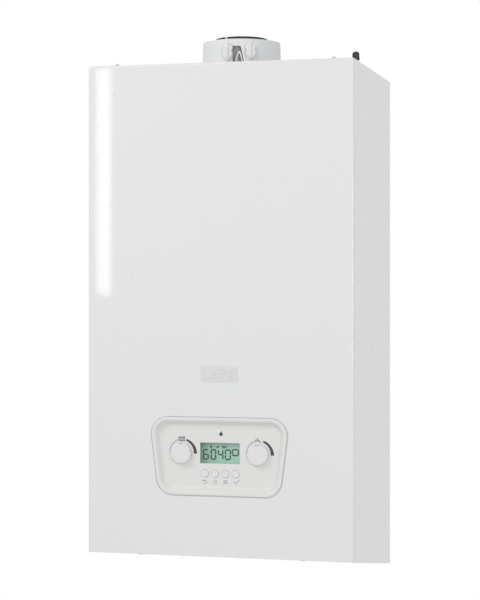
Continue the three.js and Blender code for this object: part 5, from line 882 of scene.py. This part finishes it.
# ---- seal and inner flue tube ----
SEAL_LOW, SEAL_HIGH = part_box("flue_seal")
SEAL_TOP, SEAL_FOOT = SEAL_HIGH[2], SEAL_LOW[2]
TUBE_LOW, TUBE_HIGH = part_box("flue_tube")
TUBE_OUTER, TUBE_BORE, SEAL_RADIUS = 33 * MM, 30 * MM, 39 * MM
seal = ring_z("flue_ring", [
    (TUBE_OUTER + 0.3 * MM, SEAL_FOOT), (SEAL_RADIUS - 1.2 * MM, SEAL_FOOT), (SEAL_RADIUS - 1.2 * MM, SEAL_TOP - 9 * MM),
    (SEAL_RADIUS - 0.2 * MM, SEAL_TOP - 8.4 * MM), (SEAL_RADIUS, SEAL_TOP - 7.6 * MM),
    (SEAL_RADIUS, SEAL_TOP - 1.3 * MM), (SEAL_RADIUS - 0.4 * MM, SEAL_TOP - 0.4 * MM),
    (SEAL_RADIUS - 1.3 * MM, SEAL_TOP), (TUBE_BORE + 1.6 * MM, SEAL_TOP), (TUBE_BORE + 0.4 * MM, SEAL_TOP - 0.4 * MM),
    (TUBE_BORE, SEAL_TOP - 1.4 * MM), (TUBE_BORE, TUBE_HIGH[2] + 0.3 * MM), (TUBE_OUTER + 0.3 * MM, TUBE_HIGH[2] + 0.3 * MM),
], seal_rubber)
ride(seal, "boiler", "flue_seal", slot="seal_black")
tab = slab("flue_ring_tab", rounded(rectangle(-14.6 * MM, -11.8 * MM, SEAL_TOP - 4.4 * MM, SEAL_TOP - 0.8 * MM), 0.5 * MM, 3),
           FLUE_Y - 37.8 * MM, FLUE_Y - 35.5 * MM, turret_white)
ride(tab, "boiler", slot="turret_white")
tube = ring_z("flue_pipe", [
    (TUBE_BORE, TUBE_LOW[2]), (TUBE_OUTER + 4 * MM, TUBE_LOW[2]), (TUBE_OUTER + 4 * MM, TUBE_LOW[2] + 11.5 * MM),
    (TUBE_OUTER + 3.4 * MM, TUBE_LOW[2] + 12.4 * MM), (TUBE_OUTER, TUBE_LOW[2] + 14 * MM),
    (TUBE_OUTER, TUBE_HIGH[2] - 0.4 * MM), (TUBE_OUTER - 0.4 * MM, TUBE_HIGH[2]), (TUBE_BORE + 0.4 * MM, TUBE_HIGH[2]),
    (TUBE_BORE, TUBE_HIGH[2] - 0.4 * MM),
], pale_plastic, sides=96)
ride(tube, "boiler", "flue_tube", slot="composite_black")

# ---- inside the collar's slot: a pale baffle round the flue pipe, coloured mid grey as painted shade, and the sampling duct's bell mouth ----
BAFFLE_OUT, BAFFLE_IN = 47.5 * MM, 46 * MM
bm = bmesh.new()
sweep = [radians(-34 + 4 * k) for k in range(20)]
section = ([(BAFFLE_OUT * sin(a), FLUE_Y - BAFFLE_OUT * cos(a)) for a in sweep]
           + [(BAFFLE_IN * sin(a), FLUE_Y - BAFFLE_IN * cos(a)) for a in reversed(sweep)])
loft(bm, [[(x, y, z) for x, y in section] for z in (COLLAR_FOOT, COLLAR_TOP - 3 * MM)])
# The baffle's grey is darker than the pale plastic it stands for: partly painted shade of the slot's shadowed inside.
baffle = mesh_object("turret_baffle", bm, baffle_shade_grey)
ride(baffle, "boiler", slot="turret_white")
bell = [(4.0, 1.6), (4.6, 8), (6.2, 15), (8.2, 21), (10.0, 24), (11.8, 24.4), (13.4, 22), (15.0, 16),
        (16.8, 8), (19.4, 1.6), (17.0, 1.6), (14.4, 12), (12.2, 20), (10.8, 21.4), (9.2, 18.6), (7.4, 12), (6.2, 1.6)]
bell_rib = slab("turret_bell", [(x * MM, CASE_TOP + z * MM) for x, z in bell], SEAT_FRONT + 2.2 * MM,
                FLUE_Y - BAFFLE_OUT * 0.9, turret_white)
soften(bell_rib, 0.3 * MM, 2, 40)
ride(bell_rib, "boiler", slot="turret_white")
# Painted shadow: a black slab at the foot of each plug stands for the shade that the plug casts on the flange.
for side, x in zip(("left", "right"), PLUG_X):
    shadow_pad = slab("plug_shadow_pad_" + side, rounded(rectangle(x - 7.5 * MM, x + 6.5 * MM, FLANGE_TOP + 0.05 * MM, FLANGE_TOP + 2.1 * MM),
                                           0.8 * MM, 4), SEAT_FRONT - 2.6 * MM, SEAT_FRONT + 1.5 * MM, seal_rubber)
    ride(shadow_pad, "boiler", slot="seal_black")

# ---- studs, cap and the charge valve's stem ----
for side, x in (("left", -STUD_X), ("right", STUD_X)):
    node = "cover_stud_" + side
    low, high = (corner[2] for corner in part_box(node))
    stud = turned(node + "_pin", [
        (0, low), (2 * MM, low), (2 * MM, CASE_TOP + 2.6 * MM), (2.5 * MM, CASE_TOP + 3.1 * MM),
        (2.7 * MM, CASE_TOP + 3.5 * MM), (2.7 * MM, high - 0.9 * MM), (2.5 * MM, high - 0.4 * MM),
        (2.0 * MM, high - 0.05 * MM), (1.6 * MM, high), (1.3 * MM, high - 0.5 * MM), (0, high - 0.5 * MM),
    ], (x, STUD_Y, 0), bright, axis="Z", sides=48, smooth_angle=40)
    ride(stud, "boiler", node, slot="bright_steel")

CAP_LOW, CAP_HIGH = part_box("valve_cap")
CAP_X, CAP_Y = ((CAP_LOW[i] + CAP_HIGH[i]) / 2 for i in (0, 1))
STEM_LOW, STEM_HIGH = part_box("charge_valve")
CAP_RADIUS, STEM_RADIUS = 5.4 * MM, 3.6 * MM
cap_profile = [(STEM_RADIUS + 0.2 * MM, CAP_LOW[2]), (CAP_RADIUS - 0.3 * MM, CAP_LOW[2]),
               (CAP_RADIUS, CAP_LOW[2] + 0.3 * MM)]
for k in range(13):
    t = k / 12 * pi / 2
    cap_profile.append((CAP_RADIUS * cos(t) ** 0.8 if k < 12 else 0, CAP_HIGH[2] - 4.4 * MM + 3.8 * MM * sin(t)))
cap_profile += [(0, STEM_HIGH[2] + 0.3 * MM), (STEM_RADIUS + 0.2 * MM, STEM_HIGH[2] + 0.3 * MM),
                (STEM_RADIUS + 0.2 * MM, CAP_LOW[2])]
cap = turned("cap_dome", cap_profile, (CAP_X, CAP_Y, 0), cap_plastic, axis="Z", sides=64, smooth_angle=45)
ride(cap, "valve_cap", "valve_cap", slot="seal_black")
strap = slab("cap_strap", rounded(rectangle(CAP_X + 3.4 * MM, CAP_X + 5.5 * MM, CAP_LOW[2] - 2.2 * MM,
                                            CAP_LOW[2] + 4 * MM), 0.7 * MM, 4),
             CAP_Y - 2.4 * MM, CAP_Y + 2.4 * MM, cap_plastic)
soften(strap, 0.3 * MM, 2, 40)
ride(strap, "valve_cap", slot="seal_black")

stem_profile = [(0, STEM_LOW[2]), (STEM_RADIUS - 0.5 * MM, STEM_LOW[2])]
THREAD = 0.8 * MM
threads = int((STEM_HIGH[2] - STEM_LOW[2] - 1 * MM) / THREAD)
for k in range(threads):
    z = STEM_LOW[2] + 0.4 * MM + k * THREAD
    stem_profile += [(STEM_RADIUS - 0.45 * MM, z), (STEM_RADIUS, z + THREAD / 2)]
stem_profile += [(STEM_RADIUS - 0.6 * MM, STEM_HIGH[2] - 0.3 * MM), (STEM_RADIUS - 0.9 * MM, STEM_HIGH[2]),
                 (1.6 * MM, STEM_HIGH[2]), (1.4 * MM, STEM_HIGH[2] - 3 * MM), (0, STEM_HIGH[2] - 3 * MM)]
stem = turned("charge_stem", stem_profile, (CAP_X, CAP_Y, 0), brass, axis="Z", sides=40, smooth_angle=60)
ride(stem, "boiler", "charge_valve", slot="brass_fitting")

# ---- the blank plate above the panel: a row of slim raised bars ----
BADGE_LOW, BADGE_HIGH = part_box("badge_plate")
badge = slab("blank_plate", rounded(rectangle(BADGE_LOW[0], BADGE_HIGH[0], BADGE_LOW[2], BADGE_HIGH[2]), 1.5 * MM, 6),
             BADGE_LOW[1] + 0.45 * MM, BADGE_HIGH[1], plate_pale)
soften(badge, 0.35 * MM, 3, 40)
ride(badge, "front_cover", "badge_plate", slot="badge_silver")
bars_bm = bmesh.new()
BAR_COUNT, BAR_HALF, BAR_REACH = 12, 1.1 * MM, 8.0 * MM
badge_middle = (BADGE_LOW[2] + BADGE_HIGH[2]) / 2
for k in range(BAR_COUNT):
    x = (k - (BAR_COUNT - 1) / 2) * 4.1 * MM
    outline = rounded(rectangle(x - BAR_HALF, x + BAR_HALF, badge_middle - BAR_REACH, badge_middle + BAR_REACH), 1.0 * MM, 5)
    loft(bars_bm, [[(px, y, pz) for px, pz in outline] for y in (BADGE_LOW[1] + 0.5 * MM, BADGE_LOW[1])])
bars_piece = mesh_object("blank_plate_bars", bars_bm, plate_silver, weighted=False)
soften(bars_piece, 0.2 * MM, 2, 40)
ride(bars_piece, "front_cover", slot="badge_silver")

# ---- the cover's two screws ----
for side, x in (("left", -SCREW_X), ("right", SCREW_X)):
    node = "cover_screw_" + side
    low, high = (corner[2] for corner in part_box(node))
    face = FLOOR_OF_CASE
    screw = turned(node + "_screw", [
        (0, low + 1.0 * MM), (2.3 * MM, low + 1.0 * MM), (2.3 * MM, low + 0.1 * MM), (2.8 * MM, low),
        (3.6 * MM, low + 0.3 * MM), (4.3 * MM, low + 1.1 * MM), (4.5 * MM, face - 0.3 * MM), (4.4 * MM, face),
        (2 * MM, face), (2 * MM, high - 0.6 * MM), (1.5 * MM, high), (0, high),
    ], (x, CASE_FRONT + BOTTOM_LIP / 2, 0), bright, axis="Z", sides=48, smooth_angle=40)
    ride(screw, "front_cover", node, slot="bright_steel")


# ---- inside the case ----
def own_form(node, material, edge=0.6, smooth_angle=38.0):
    """The node's own form with flat faces merged and its edges rounded; edge is in millimetres."""
    bm = bmesh.new()
    bm.from_mesh(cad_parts[node].data)
    bmesh.ops.remove_doubles(bm, verts=bm.verts, dist=2e-6)
    bmesh.ops.dissolve_limit(bm, angle_limit=radians(0.8), verts=bm.verts, edges=bm.edges)
    piece = mesh_object(node + "_form", bm, material, smooth_angle=smooth_angle, weighted=False)
    return soften(piece, edge * MM, 2, 41) if edge else keep_flat(piece)


def dress(node, material, slot, edge=0.6, body="boiler"):
    """Show the node as its own form in a finish of its own."""
    return ride(own_form(node, material, edge), body, node, slot=slot)


for node in ("wall_bracket", "back_panel", "frame_left", "frame_right", "top_plate", "bottom_plate"):
    dress(node, zinc, "zinc_sheet", 0.3)
for node in ("encoder_heating", "encoder_hot_water", "air_silencer", "gas_air_mixer", "fan_motor",
             "diverter_motor", "pump_body", "condensate_trap"):
    dress(node, black_plastic, "composite_black", 0.8)
dress("fan_impeller", black_plastic, "composite_black", 0.3, "fan_impeller")
dress("pump_rotor", steel, "bright_steel", 0.3, "pump_rotor")
dress("diverter_plunger", steel, "bright_steel", 0.4, "diverter_plunger")
dress("gas_injector_pipe", steel, "bright_steel", 0)
dress("display_board", board_mask, "board_green", 0.2)
dress("main_board", board_mask, "board_green", 0.3)
dress("control_box", grey_plastic, "box_grey", 1.0)
dress("exchanger_shell", steel, "stainless", 0.8)
dress("exchanger_coil", steel, "stainless", 0)
dress("burner", steel, "stainless", 0.4)
dress("plate_exchanger", steel, "stainless", 0.5)
dress("burner_door", cast_metal, "cast_aluminium", 1.4)
dress("fan_housing", cast_metal, "cast_aluminium", 1.4)
dress("gas_valve", cast_metal, "cast_aluminium", 1.2)
dress("pump_motor", cast_metal, "cast_aluminium", 1.4)
dress("ignition_electrode", ceramic, "ceramic_white", 0.6)
for node in ("gas_pipe", "flow_pipe", "return_pipe"):
    dress(node, copper, "copper_pipe", 0)
dress("expansion_vessel", vessel_paint, "vessel_red", 1.6)
for node in ("flow_block", "return_block"):
    dress(node, grey_plastic, "block_composite", 1.0)
dress("relief_knob", red_plastic, "knob_red", 0.8, "relief_knob")


# ---- fastenings and small fittings inside ----
def sleeve(bm, centre, axis, profile, sides, turn=0.0):
    """Rings of one turned or many-sided fitting, added to a mesh; the profile is (radius, along the axis)."""
    rings = []
    for radius, along in profile:
        ring = []
        for k in range(sides):
            a = 2 * pi * k / sides + turn
            u, v = radius * cos(a), radius * sin(a)
            ring.append((centre[0] + u, along, centre[1] + v) if axis == "Y" else
                        (centre[0] + u, centre[1] + v, along))
        rings.append(ring)
    loft(bm, rings)


def hex_heads(name, centres, face, across, height, material, slot, washer=0.0):
    """Hexagon heads on washers, standing forward from a face at that y."""
    bm = bmesh.new()
    for centre in centres:
        radius = across / 2 / cos(pi / 6)
        sleeve(bm, centre, "Y", [(across * 0.66, face), (across * 0.66, face - 0.8 * MM)], 24)
        sleeve(bm, centre, "Y", [(radius, face - 0.8 * MM - washer), (radius, face - height),
                                 (radius * 0.86, face - height - 0.4 * MM)], 6, turn=centre[0] * 90)
    piece = mesh_object(name, bm, material, smooth_angle=25, weighted=False)
    return ride(soften(piece, 0.25 * MM, 2, 50), "boiler", slot=slot)


def around(centre, radius, count, start=0.0):
    return [(centre[0] + radius * cos(start + 2 * pi * k / count), centre[1] + radius * sin(start + 2 * pi * k / count))
            for k in range(count)]


def middle(node, first, second):
    low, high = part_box(node)
    return (low[first] + high[first]) / 2, (low[second] + high[second]) / 2


DOOR_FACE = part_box("burner_door")[1][1] - 10 * MM
hex_heads("door_nuts", around(middle("burner_door", 0, 2), 104 * MM, 6, radians(10)), DOOR_FACE, 10 * MM, 6 * MM,
          bright, "bright_steel")
FAN_MIDDLE = middle("fan_motor", 0, 2)
FAN_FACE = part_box("fan_housing")[0][1]
hex_heads("fan_screws", around(FAN_MIDDLE, 49 * MM, 4, radians(45)), FAN_FACE, 7 * MM, 4 * MM, bright, "bright_steel")

MOTOR_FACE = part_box("fan_motor")[0][1]
bm = bmesh.new()
sleeve(bm, FAN_MIDDLE, "Y", [(22 * MM, MOTOR_FACE + 1 * MM), (22 * MM, MOTOR_FACE - 1.2 * MM),
                             (20 * MM, MOTOR_FACE - 1.8 * MM)], 48)
for radius in (9 * MM, 15 * MM):
    sleeve(bm, FAN_MIDDLE, "Y", [(radius, MOTOR_FACE - 1.8 * MM), (radius - 0.6 * MM, MOTOR_FACE - 2.4 * MM)], 48)
ride(soften(mesh_object("fan_motor_cap", bm, grey_plastic, weighted=False), 0.3 * MM, 2, 40), "boiler",
     slot="composite_black")

VALVE_LOW, VALVE_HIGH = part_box("gas_valve")
VALVE_X = (VALVE_LOW[0] + VALVE_HIGH[0]) / 2
bm = bmesh.new()
for z in (VALVE_LOW[2] + 30 * MM, VALVE_HIGH[2] - 30 * MM):
    sleeve(bm, (VALVE_X, z), "Y", [(14 * MM, VALVE_LOW[1] + 12 * MM), (14 * MM, VALVE_LOW[1] + 2 * MM),
                                   (13 * MM, VALVE_LOW[1] - 0.8 * MM), (5 * MM, VALVE_LOW[1] - 0.8 * MM),
                                   (4.4 * MM, VALVE_LOW[1] - 2.6 * MM)], 40)
ride(soften(mesh_object("valve_coils", bm, black_plastic, weighted=False), 0.4 * MM, 2, 40), "boiler",
     slot="composite_black")

PUMP_MIDDLE = middle("pump_motor", 0, 2)
PUMP_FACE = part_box("pump_motor")[0][1]
bm = bmesh.new()
sleeve(bm, PUMP_MIDDLE, "Y", [(29 * MM, PUMP_FACE + 1 * MM), (29 * MM, PUMP_FACE - 1.0 * MM),
                              (27.5 * MM, PUMP_FACE - 1.8 * MM)], 56)
ride(soften(mesh_object("pump_face", bm, black_plastic, weighted=False), 0.3 * MM, 2, 40), "boiler",
     slot="composite_black")
bm = bmesh.new()
sleeve(bm, PUMP_MIDDLE, "Y", [(9 * MM, PUMP_FACE - 1.6 * MM), (9 * MM, PUMP_FACE - 4 * MM),
                              (8 * MM, PUMP_FACE - 4.6 * MM)], 6)
sleeve(bm, PUMP_MIDDLE, "Y", [(12 * MM, PUMP_FACE - 1.6 * MM), (12 * MM, PUMP_FACE - 2.6 * MM)], 40)
ride(soften(mesh_object("pump_vent_screw", bm, brass, weighted=False), 0.3 * MM, 2, 40), "boiler",
     slot="brass_fitting")

# union nuts over the connection tails, and a clamp round the condensate bottle
TAIL_SPACING, TAIL_Y = 65 * MM, -60 * MM
NUT_LOW, NUT_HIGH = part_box("flow_block")[0][2] + 5.6 * MM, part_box("flow_block")[0][2] + 20.4 * MM
bm = bmesh.new()
for k in range(-2, 3):
    sleeve(bm, (k * TAIL_SPACING, TAIL_Y), "Z", [(14.4 * MM, NUT_LOW), (15.5 * MM, NUT_LOW + 0.9 * MM),
                                                (15.5 * MM, NUT_HIGH - 0.9 * MM), (14.4 * MM, NUT_HIGH)], 6)
    sleeve(bm, (k * TAIL_SPACING, TAIL_Y), "Z", [(11.6 * MM, NUT_LOW - 5.2 * MM), (11.6 * MM, NUT_LOW + 1 * MM)], 40)
ride(soften(mesh_object("union_nuts", bm, brass, smooth_angle=25, weighted=False), 0.5 * MM, 2, 40), "boiler",
     slot="brass_fitting")
TRAP = middle("condensate_trap", 0, 1)
TRAP_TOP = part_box("condensate_trap")[1][2]
bm = bmesh.new()
for z in (TRAP_TOP - 44 * MM, TRAP_TOP - 110 * MM):
    sleeve(bm, TRAP, "Z", [(24.7 * MM, z - 5 * MM), (24.7 * MM, z + 5 * MM)], 64)
ride(soften(mesh_object("trap_clamps", bm, bright, weighted=False), 0.3 * MM, 2, 40), "boiler", slot="bright_steel")

# rivets along the frame's sides and the back panel
BACK_LOW, BACK_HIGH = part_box("back_panel")
bm = bmesh.new()
for x in (BACK_LOW[0] + 9 * MM, BACK_HIGH[0] - 9 * MM):
    for k in range(6):
        z = BACK_LOW[2] + 60 * MM + k * 118 * MM
        sleeve(bm, (x, z), "Y", [(3.2 * MM, BACK_HIGH[1]), (3.0 * MM, BACK_HIGH[1] + 0.5 * MM),
                                 (1.6 * MM, BACK_HIGH[1] + 0.9 * MM)], 24)
ride(mesh_object("back_rivets", bm, bright, smooth_angle=50, weighted=False), "boiler", slot="bright_steel")
